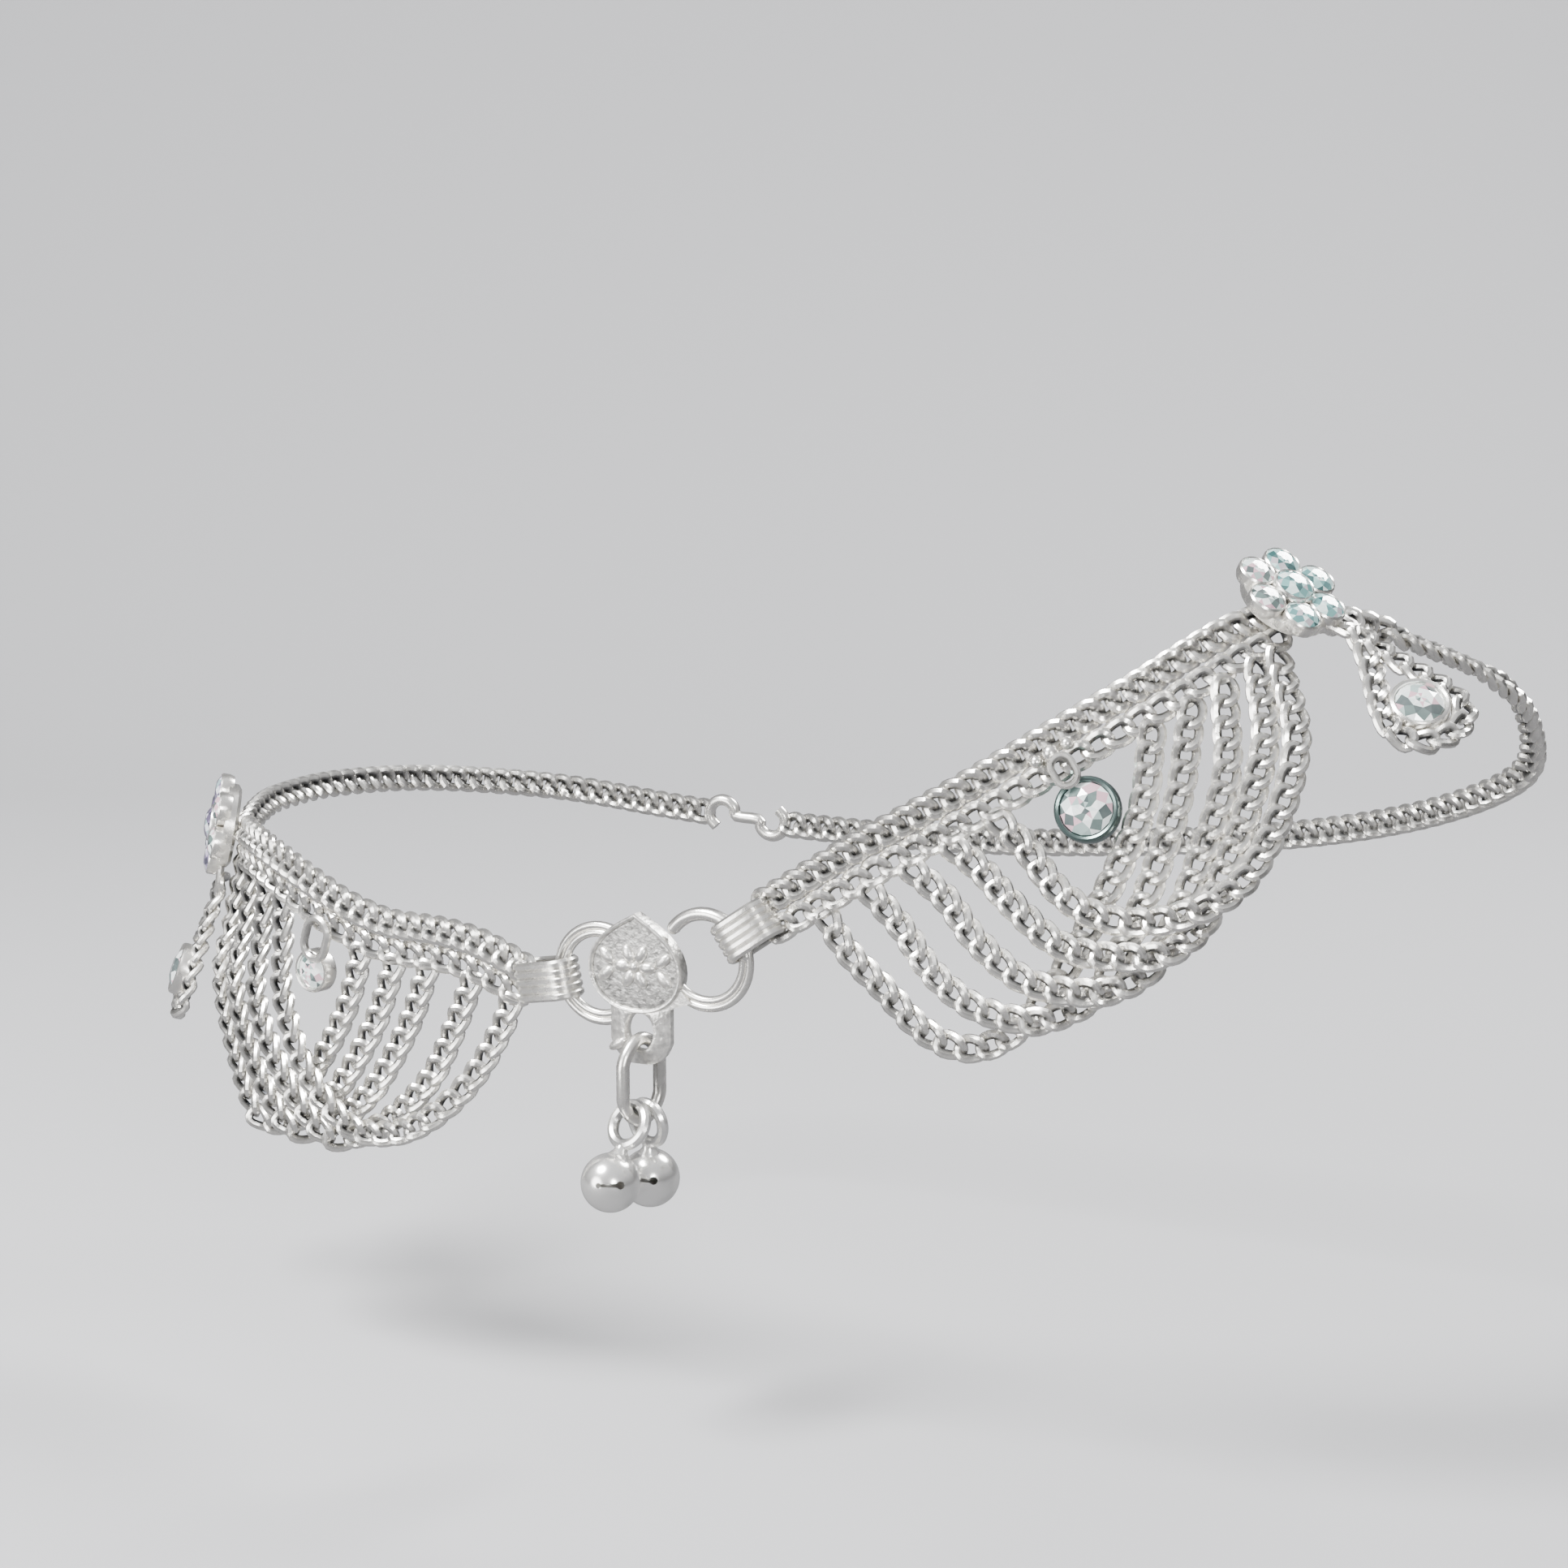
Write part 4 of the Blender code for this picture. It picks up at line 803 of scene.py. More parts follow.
def add_brilliant(bm: BMesh, radius: float, base: float, place: Matrix, finish: Finish, seed: int) -> None:
    """Add a round brilliant with a table, star and crown facets, a girdle and a pavilion.

    Args:
        bm: The mesh to add to.
        radius: Girdle radius.
        base: Height of the girdle.
        place: Its matrix.
        finish: Finish that holds the facets' colours: the stone's tint with painted glints and reflections.
        seed: Seed of the facets' colours and of the stone's turn.
    """
    fire = random.Random(seed)
    turn = fire.uniform(0, math.pi / 4)
    layer = bm.loops.layers.float_color.get("facet") or bm.loops.layers.float_color.new("facet")

    def ring(share: float, height: float, count: int, shift: float) -> Ring:
        """Add a ring of corners.

        Args:
            share: Its radius as a share of the girdle's.
            height: Its height over the girdle as a share of the radius.
            count: Its corners.
            shift: Turn in corners.

        Returns:
            The corners.
        """
        turns = [2 * math.pi * (k + shift) / count + turn for k in range(count)]
        return [bm.verts.new(place @ polar(share * radius, a, base + height * radius)) for a in turns]

    def facet(*corners: bmesh.types.BMVert) -> None:
        """Add a facet with a painted colour of its own, from the stone's glints and reflections.

        Args:
            corners: Its corners.
        """
        colour = fire.choice(finish.facets)
        for loop in bm.faces.new(corners).loops:
            loop[layer] = (*colour, 1)

    low, girdle, crown, table, heart = (ring(*row) for row in STONE_RINGS)
    middle = bm.verts.new(place @ Vector((0, 0, base + STONE_TOP * radius)))
    tip = bm.verts.new(place @ Vector((0, 0, base - STONE_DEPTH * radius)))
    for k in range(16):
        j = (k + 1) % 16
        facet(low[k], low[j], girdle[j], girdle[k])
        facet(low[j], low[k], tip)
    for k in range(8):
        j = (k + 1) % 8
        first, half, last = girdle[2 * k], girdle[2 * k + 1], girdle[(2 * k + 2) % 16]
        facet(first, half, crown[k])
        facet(half, last, crown[k])
        facet(crown[k], last, crown[j], table[j])
        facet(table[k], crown[k], table[j])
        facet(table[k], table[j], heart[k])
        facet(heart[k], table[j], heart[j])
        facet(heart[k], heart[j], middle)


def add_curb_link(bm: BMesh, style: LinkStyle) -> None:
    """Add one twisted curb link at the origin, its long way along X.

    Args:
        bm: The mesh to add to.
        style: Its size.
    """
    long = (style.length - style.wire) / 2
    wide = (style.width - style.wire) / 2
    centres = []
    for i in range(style.segments):
        t = 2 * math.pi * i / style.segments
        x = long * math.copysign(abs(math.cos(t)) ** style.end_power, math.cos(t))
        y = wide * math.copysign(abs(math.sin(t)) ** style.side_power, math.sin(t))
        centres.append(Vector((x, y, style.rise * math.sin(2 * t))))
    section = tuple((u, style.flat * v) for u, v in disc(style.wire / 2, style.sides))
    sweep(bm, centres, Vector((0, 0, 1)), section, True, style.soil)


def add_wire_loop(bm: BMesh, place: Matrix, length: float, width: float, wire: float, segments: int,
                  sides: int = 10, taper: float = 0.0) -> None:
    """Add a round wire loop with straight sides, its long way along X of a matrix.

    Args:
        bm: The mesh to add to.
        place: Its matrix.
        length: Length of its centreline's outline.
        width: Width of its centreline's outline.
        wire: Wire diameter.
        segments: Points round.
        sides: Corners of the wire's section.
        taper: Share of the width that its ends lose.
    """
    straight = (length - width) / 2
    centres = []
    for i in range(segments):
        t = 2 * math.pi * (i + 0.5) / segments
        x = math.copysign(straight, math.cos(t)) + width / 2 * math.cos(t)
        y = width / 2 * math.sin(t) * (1 - taper * (2 * x / length) ** 2)
        centres.append(place @ Vector((x, y, 0)))
    sweep(bm, centres, place.to_3x3() @ Vector((0, 0, 1)), disc(wire / 2, sides), True, LOOP_SHADE)


def add_arc(bm: BMesh, place: Matrix, lug: Triple, shift: float, section: Pairs, arc: Pair,
            segments: int) -> None:
    """Add an arc of wire with rounded ends in the X-Y plane of a matrix.

    Args:
        bm: The mesh to add to.
        place: Its matrix.
        lug: Centre and radius.
        shift: What is added to the radius.
        section: Section of the wire.
        arc: First and last angle, in degrees.
        segments: Steps along it.
    """
    x, y, radius = lug
    radius += shift
    first, last = arc
    angles = [math.radians(first + (last - first) * i / segments) for i in range(segments + 1)]
    centres = [place @ Vector((x + radius * math.cos(a), y + radius * math.sin(a), 0)) for a in angles]
    sweep(bm, centres, place.to_3x3() @ Vector((0, 0, 1)), section, False)
    for spot in (centres[0], centres[-1]):
        add_bead(bm, Matrix.Translation(spot), END_SHARE * max(u for u, _ in section))


@dataclass
class HeartBlock:
    """Leaf plate with its relief, wire lugs and the eye that carries the bells."""

    shop: Workshop
    lift: float = 2.1
    width: float = 0.0087
    tip: float = 0.0040
    foot: float = 0.0043
    waist: float = -0.16
    # Outline between the tip, the waist and the foot: shares of the half width, and of the tip or the foot.
    tip_curve: Pairs = ((0.42, 0.76), (1.0, 0.42))
    foot_curve: Pairs = ((1.0, -0.68), (0.55, -1.0))
    thickness: float = 0.0013
    rim: float = 0.00042
    # Section of the rim: share of the rim inwards, share of the half thickness, painted shade.
    rim_steps: Triples = ((0.00, -0.9, 0.5), (0.00, 0.62, 0.1), (0.10, 0.86, 0.0), (0.28, 1.0, 0.0),
                          (0.62, 1.0, 0.0), (0.86, 0.84, 0.2), (1.0, 0.60, 0.50))
    # Middle of the sunk face: share of the foot, share of the half thickness, painted shade.
    face: Triple = (-0.1, 0.72, 0.25)
    relief_level: float = 0.62
    relief_y: float = -0.0004
    petals: int = 6
    petal_reach: float = 0.00118
    petal: Triple = (0.00084, 0.00052, 0.00044)
    bud: Triple = (0.00045, 0.00045, 0.0005)
    leaf: Triple = (0.00092, 0.00050, 0.00044)
    # Leaves of one side: distance across, height, lean in degrees.
    leaves: Triples = ((0.0026, 0.0003, 40), (0.0027, -0.0012, -40))
    leaf_level: float = 0.9
    # Lugs: centre across and up, and radius. Their arcs are in degrees.
    left: Triple = (-0.0036, -0.0015, 0.0037)
    right: Triple = (0.00624, 0.0008, 0.00372)
    lug_back: float = 0.00025
    left_wire: float = 0.00035
    left_shift: float = 0.00031
    left_arc: Pair = (46, 314)
    right_wire: float = 0.00036
    right_shift: float = 0.0003
    right_arc: Pair = (-148, 22)
    single_wire: float = 0.00056
    single_arc: Pair = (10, 143)
    eye_x: float = 0.0003
    eye_top: float = -0.0043
    eye_height: float = 0.0031
    eye_half: float = 0.00125
    eye_bar: float = 0.0012
    tab_half: float = 0.0028
    tab_top: float = -0.7
    # Corners under the tab: share of its half width, height from the eye's foot as a share of the bar.
    tab_corners: Pairs = ((1.0, 0.5), (0.75, -0.5), (0.35, -1.0))
    tab_thick: float = 0.0005
    tab_sides: int = 32
    # Section of the tab: share of the way from the eye to the edge, share of tab_thick.
    tab_steps: Pairs = ((0, -1), (0, 0.3), (0.08, 0.75), (0.25, 0.8), (0.42, 0.5), (0.85, 0.4), (1, 0.1),
                        (1, -1))
    lip_at: Triple = (-0.00170, -0.00708, 0.00035)
    lip: Triple = (0.00092, 0.00042, 0.00034)
    lip_turn: float = 0.55
    # Corners of the web: shares of the width and the foot, and of the right lug's radius from its centre.
    web_plate: Pairs = ((0.25, -0.95), (0.36, -0.55))
    web_lug: Pairs = ((-0.3, -1.0), (-0.75, -0.55))
    web_levels: Pair = (-0.0005, 0.0003)

    def place(self) -> Matrix:
        """Matrix of the block: X along the band, Y up, Z out."""
        return frame_at(Ankle.on_side(0, 0, self.lift), Vector((1, 0, 0)), Vector((0, -1, 0)))

    def hinge(self) -> Vector:
        """Middle of the bar under the eye, which the bell drop swings about."""
        return self.place() @ Vector((self.eye_x, self.eye_top - self.eye_height - self.eye_bar / 2, 0))

    def outline(self, steps: int = 12) -> list[Vector]:
        """Leaf outline.

        Args:
            steps: Points on each of its four arcs.

        Returns:
            Its points, from the tip round clockwise.
        """
        half = self.width / 2
        waist = (half, self.waist * self.foot)
        arcs = (((0, self.tip), *((u * half, v * self.tip) for u, v in self.tip_curve), waist),
                (waist, *((u * half, v * self.foot) for u, v in self.foot_curve), (0, -self.foot)))
        right = []
        for arc in arcs:
            a, b, c, d = (Vector(p) for p in arc)
            for i in range(steps):
                t = i / steps
                s = 1 - t
                right.append(a * s ** 3 + b * 3 * s ** 2 * t + c * 3 * s * t ** 2 + d * t ** 3)
        left = [Vector((-p.x, p.y)) for p in reversed(right[1:])]
        return [*right, Vector((0, -self.foot)), *left]

    def _plate(self, bm: BMesh) -> None:
        """Add the plate with its rounded rim and its sunk face, with painted shade on its back edge, down
        the rim's inner side and over the face.

        Args:
            bm: The mesh to add to.
        """
        place = self.place()
        line = self.outline()
        count = len(line)
        half = self.thickness / 2
        marks = painted_shade_marks(bm)
        rings = []
        for inset, height, soil in self.rim_steps:
            ring = []
            for i, p in enumerate(line):
                run = (line[(i + 1) % count] - line[i - 1]).normalized()
                q = p + Vector((run.y, -run.x)) * inset * self.rim
                ring.append(bm.verts.new(place @ Vector((q.x, q.y, height * half))))
                ring[-1][marks] = soil
            rings.append(ring)
        skin(bm, rings)
        bm.faces.new(rings[0])
        share, level, soil = self.face
        middle = bm.verts.new(place @ Vector((0, share * self.foot, level * half)))
        middle[marks] = soil
        for i in range(count):
            bm.faces.new((rings[-1][i], rings[-1][(i + 1) % count], middle))

    def _relief(self, bm: BMesh) -> None:
        """Add the small flower and its leaves on the plate's face.

        Args:
            bm: The mesh to add to.
        """
        place = self.place()
        level, middle, reach = self.relief_level * self.thickness / 2, self.relief_y, self.petal_reach
        turns = [2 * math.pi * k / self.petals for k in range(self.petals)]
        beads = [((reach * math.cos(a), reach * math.sin(a) + middle, level), a, self.petal) for a in turns]
        beads.append(((0, middle, level), 0, self.bud))
        beads += [((side * across, y, self.leaf_level * level), side * math.radians(lean), self.leaf)
                  for side in (1, -1) for across, y, lean in self.leaves]
        for spot, turn, radii in beads:
            add_bead(bm, place @ Matrix.Translation(spot) @ Matrix.Rotation(turn, 4, "Z"), 1, radii)

    def _lugs(self, bm: BMesh) -> None:
        """Add the wires of the two lugs.

        Args:
            bm: The mesh to add to.
        """
        back = self.place() @ Matrix.Translation((0, 0, -self.lug_back))
        for sign in (-1, 1):
            section = disc(self.left_wire, 10)
            add_arc(bm, back, self.left, sign * self.left_shift, section, self.left_arc, 36)
        add_arc(bm, back, self.right, 0, disc(self.single_wire, 12), self.single_arc, 26)
        for sign in (-1, 1):
            section = disc(self.right_wire, 10)
            add_arc(bm, back, self.right, sign * self.right_shift, section, self.right_arc, 28)

    def _tab(self, bm: BMesh) -> None:
        """Add the tab with its eye, and the folded lip at the left of it.

        Args:
            bm: The mesh to add to.
        """
        place = self.place()
        wide, low = self.tab_half, self.eye_top - self.eye_height
        centre = self.eye_top - self.eye_height / 2
        edge = [(wide, self.tab_top * self.foot),
                *((share * wide, low + up * self.eye_bar) for share, up in self.tab_corners)]
        outer = [(-u, v) for u, v in edge] + edge[::-1]
        holes, edges = [], []
        for i in range(self.tab_sides):
            a = -math.pi / 2 + 2 * math.pi * (i + 0.5) / self.tab_sides
            way = Vector((math.cos(a), math.sin(a)))
            holes.append(Vector((self.eye_half * way.x, centre + self.eye_height / 2 * way.y)))
            edges.append(self._cast(Vector((0, centre)), way, outer))
        rings = []
        for share, height in self.tab_steps:
            spots = [h.lerp(e, share) for h, e in zip(holes, edges)]
            rings.append([bm.verts.new(place @ Vector((self.eye_x + p.x, p.y, height * self.tab_thick)))
                          for p in spots])
        skin(bm, [*rings, rings[0]])
        turned = place @ Matrix.Translation(self.lip_at) @ Matrix.Rotation(self.lip_turn, 4, "Z")
        add_bead(bm, turned, 1, self.lip, 16, 10)

    @staticmethod
    def _cast(origin: Vector, way: Vector, outline: Sequence[Pair]) -> Vector:
        """Where a ray from inside meets an outline.

        Args:
            origin: Start of the ray.
            way: Its direction.
            outline: Points of the outline.

        Returns:
            The point on the outline.
        """
        best = math.inf
        for i, start in enumerate(outline):
            edge = Vector(outline[(i + 1) % len(outline)]) - Vector(start)
            gap = Vector(start) - origin
            det = edge.x * way.y - way.x * edge.y
            if abs(det) < 1e-12:
                continue
            reach = (edge.x * gap.y - gap.x * edge.y) / det
            share = (way.x * gap.y - way.y * gap.x) / det
            if reach > 0 and -1e-9 <= share <= 1 + 1e-9:
                best = min(best, reach)
        return origin + way * best

    def _web(self, bm: BMesh) -> None:
        """Add the web between the plate and the right lug.

        Args:
            bm: The mesh to add to.
        """
        place = self.place()
        x, y, radius = self.right
        low, high = [(u * self.width, v * self.foot) for u, v in self.web_plate]
        spots = (low, *((x + u * radius, y + v * radius) for u, v in self.web_lug), high)
        rings = [[bm.verts.new(place @ Vector((*spot, level))) for spot in spots]
                 for level in self.web_levels]
        skin(bm, rings, True)

    def _cast_piece(self, bm: BMesh) -> None:
        """Add all that is cast in one: the plate, its relief, the tab and the web.

        Args:
            bm: The mesh to add to.
        """
        self._plate(bm)
        self._relief(bm)
        self._tab(bm)
        self._web(bm)

    def build(self) -> None:
        """Build and seat the block."""
        self.shop.piece("leaf_plate", self._cast_piece, STRUCK, "heart_plate", sharp=50)
        self.shop.piece("leaf_lugs", self._lugs, SATIN, sharp=50)


@dataclass(frozen=True)
class Bell:
    """A bell: its bail's place on the ring, and its tilt, sway and slit's direction in degrees."""

    name: str
    at: float
    tilt: float
    sway: float
    facing: float


@dataclass
class BellDrop:
    """Jump ring and two round bells that swing from the eye."""

    shop: Workshop
    block: HeartBlock
    ring_wire: float = 0.0010
    ring_width: float = 0.0044
    ring_height: float = 0.0069
    ring_taper: float = 0.25
    ring_thick: float = 1.1
    turn: float = math.radians(15)
    bail_wire: float = 0.00078
    bail_radius: float = 0.0017
    eye_gap: float = 0.00045
    bail_gap: float = 0.0003
    bail_thick: float = 1.25
    neck: float = 0.0004
    # Section of the neck: radius and height over the bell.
    neck_steps: Pairs = ((0.00095, -0.00028), (0.00085, -0.00005), (0.0006, 0.00022), (0.00052, 0.0006))
    bell: float = 0.0049
    wall: float = 0.0004
    slit_rise: float = math.radians(11)
    slit_half: float = 0.0009
    slit_holes: Pair = (0.00034, 0.00022)
    slit_depth: float = 0.0011
    bells: tuple[Bell, ...] = (Bell("bell_inner", 0.0007, 7.0, -4.5, 14.0),
                               Bell("bell_outer", -0.0012, -29.0, 2.5, 28.0))

    def place(self) -> Matrix:
        """Matrix of the drop: X across the ring's plane, Y up, Z along its width."""
        across = Vector((math.cos(self.turn), -math.sin(self.turn), 0))
        return frame_at(self.block.hinge(), across, Vector((across.y, -across.x, 0)))

    def build(self) -> None:
        """Build and seat the ring and the bells."""
        place = self.place()
        axes = place.to_3x3()
        top = self.block.eye_bar / 2 + self.eye_gap + self.ring_wire / 2
        centre = place @ Vector((0, top - self.ring_height / 2, 0))
        upright = frame_at(centre, axes @ Vector((0, 1, 0)), axes @ Vector((1, 0, 0)))
        self.shop.piece("jump_ring_wire", lambda bm: add_wire_loop(
            bm, upright, self.ring_height, self.ring_width, self.ring_thick * self.ring_wire, 40, 12,
            self.ring_taper), SATIN, "jump_ring", body="bell_drop")
        for bell in self.bells:
            self._bell(bell, top - self.ring_height)

    def _bell(self, bell: Bell, low: float) -> None:
        """Build and seat one bell with its bail.

        Args:
            bell: Its name, place and turns.
            low: Height of the ring's foot.
        """
        place = self.place()
        axes = place.to_3x3()
        bend, half = self.ring_width / 2, self.bell / 2
        seat = place @ Vector((0, low + bend - math.sqrt(bend ** 2 - bell.at ** 2), -bell.at))
        tilt, sway, facing = (math.radians(turn) for turn in (bell.tilt, bell.sway, bell.facing))
        down = (axes @ Vector((math.sin(sway), -math.cos(tilt), -math.sin(tilt)))).normalized()
        front = (axes @ Vector((1, 0, 0))).cross(down).normalized()
        across = down.cross(front)
        bail = seat + down * (self.bail_radius - self.bail_wire / 2 - self.bail_gap - self.ring_wire / 2)
        drop = self.bail_radius + self.bail_wire / 2 + self.neck + half
        ball = frame_at(bail + down * drop, across, -down)
        flat = math.cos(self.slit_rise)
        face = Vector((flat * math.sin(facing), -flat * math.cos(facing), math.sin(self.slit_rise)))
        level = Vector((math.cos(facing), math.sin(facing), 0))
        mouth = frame_at(ball.translation + face * self.bell / 2, level, face)
        shell, hollow, slit = (self.shop.mesh(name, build, BRIGHT) for name, build in (
            (bell.name + "_shell", lambda bm: add_bead(bm, ball, half, around=40, up=24)),
            ("cutter", lambda bm: add_bead(bm, ball, half - self.wall, around=24, up=16)),
            ("cutter", lambda bm: self._slit(bm, mouth))))
        self._cut(shell, hollow)
        self._cut(shell, slit)
        shell.data.shade_smooth()
        shell.data.set_sharp_from_angle(angle=math.radians(40))

        def hanger(bm: BMesh) -> None:
            """Add the bail and the neck.

            Args:
                bm: The mesh to add to.
            """
            wide, wire = 2 * self.bail_radius, self.bail_thick * self.bail_wire
            add_wire_loop(bm, frame_at(bail, across, across.cross(down)), wide, wide, wire, 32)
            add_turned(bm, [(radius, half + height) for radius, height in self.neck_steps], 20, ball)

        self.shop.seat(shell, BRIGHT, bell.name, body="bell_drop")
        self.shop.piece(bell.name + "_bail", hanger, BRIGHT, body="bell_drop")

    def _slit(self, bm: BMesh, mouth: Matrix) -> None:
        """Add the cutter of a bell's slit, with a round hole at each end.

        Args:
            bm: The mesh to add to.
            mouth: Its matrix, Z out of the bell.
        """
        outline = []
        for end, hole in zip((1, -1), self.slit_holes):
            for i in range(11):
                a = math.radians(-150 + 30 * i)
                outline.append((end * (self.slit_half + hole * math.cos(a)), end * hole * math.sin(a)))
        rims = [[bm.verts.new(mouth @ Vector((u, v, height))) for u, v in outline]
                for height in (-self.slit_depth, self.slit_depth)]
        skin(bm, rims, True)

    @staticmethod
    def _cut(base: bpy.types.Object, cutter: bpy.types.Object) -> None:
        """Cut one object with another and drop the cutter.

        Args:
            base: The object to cut.
            cutter: What is taken from it.
        """
        step = base.modifiers.new("Cut", "BOOLEAN")
        step.operation = "DIFFERENCE"
        step.solver = "EXACT"
        step.object = cutter
        bpy.context.view_layer.update()
        graph = bpy.context.evaluated_depsgraph_get()
        shape = bpy.data.meshes.new_from_object(base.evaluated_get(graph))
        base.modifiers.clear()
        base.data = shape
        bpy.data.objects.remove(cutter)


# Strands of each end: q on the plate's half, q on the flower's half, and points (q, z, lift) between.
STRANDS = {
    End.TOE: (
        (16.6, 40.4, ((18.4, 2.5, 1.2), (21.7, -0.2, 1.2), (25.2, -3.1, 1.1), (28.8, -4.1, 0.9),
            (32.3, -2.6, 0.8), (35.8, 1.8, 0.8), (38.9, 8.7, 0.8), (40.7, 14.8, 0.9))),
        (20.2, 42.9, ((22.9, 4.7, 1.2), (26.2, 1.6, 2.4), (30.2, -0.6, 3.0), (34.6, -1.2, 3.0),
            (36.5, -0.7, 2.0), (38.2, 0.4, 0.9), (39.6, 2.2, 0.8), (41.9, 8.2, 0.8), (43.3, 15.6, 0.9))),
        (23.5, 44.8, ((26.5, 7.1, 1.2), (29.6, 4.3, 2.4), (34.2, 1.7, 3.0), (39.3, 1.3, 3.0),
            (41.5, 2.0, 2.0), (42.9, 3.2, 0.9), (44.0, 5.2, 0.8), (45.6, 10.9, 0.8), (46.5, 17.4, 0.9))),
        (26.7, 46.6, ((29.3, 9.4, 1.2), (32.2, 7.2, 2.4), (37.0, 4.4, 3.0), (43.5, 4.2, 3.0),
            (45.7, 5.4, 2.1), (46.9, 7.2, 1.0), (47.4, 9.6, 0.8), (48.5, 14.6, 0.9), (48.7, 19.8, 0.9))),
        (30.1, 48.0, ((32.5, 11.3, 1.2), (35.5, 8.6, 2.4), (39.0, 6.9, 3.0), (43.0, 6.7, 3.0),
            (47.4, 8.0, 3.0), (49.8, 10.6, 1.6), (51.1, 15.2, 1.0), (50.8, 20.2, 1.0)))),
    End.HEEL: (
        (-13.4, -38.2, ((-14.6, -8.6, 1.0), (-17.4, -13.0, 1.6), (-20.6, -16.2, 2.9),
            (-24.6, -18.0, 3.0), (-29.0, -17.9, 3.0), (-33.2, -13.9, 3.0), (-36.2, -8.0, 2.6),
            (-37.6, -4.0, 1.4))),
        (-17.4, -41.2, ((-19.0, -8.0, 0.8), (-21.5, -12.8, 0.8), (-24.8, -16.4, 0.8),
            (-28.2, -18.8, 0.8), (-29.8, -19.3, 1.7), (-31.3, -19.2, 2.9), (-35.4, -15.4, 3.0),
            (-39.4, -9.2, 2.8), (-41.0, -4.4, 1.4))),
        (-22.0, -44.6, ((-23.9, -8.6, 0.8), (-27.0, -13.8, 0.8), (-29.9, -17.0, 0.8),
            (-32.8, -19.1, 0.8), (-34.1, -19.5, 1.7), (-35.6, -19.2, 2.9), (-39.6, -14.6, 3.0),
            (-43.0, -8.6, 2.8), (-44.4, -4.2, 1.4))),
        (-25.5, -47.8, ((-27.4, -8.6, 0.8), (-30.4, -13.8, 0.8), (-33.6, -17.4, 0.8),
            (-36.9, -19.3, 0.9), (-38.3, -19.7, 1.9), (-39.8, -19.1, 2.9), (-43.3, -13.8, 3.0),
            (-46.4, -7.8, 2.8), (-47.6, -3.8, 1.4))),
        (-29.0, -50.8, ((-29.6, -5.6, 0.9), (-31.0, -9.0, 0.8), (-33.6, -13.2, 0.8),
            (-37.2, -16.9, 0.8), (-42.6, -17.6, 0.8), (-46.8, -13.0, 1.2), (-49.6, -7.4, 1.2),
            (-50.6, -3.4, 1.2))))}


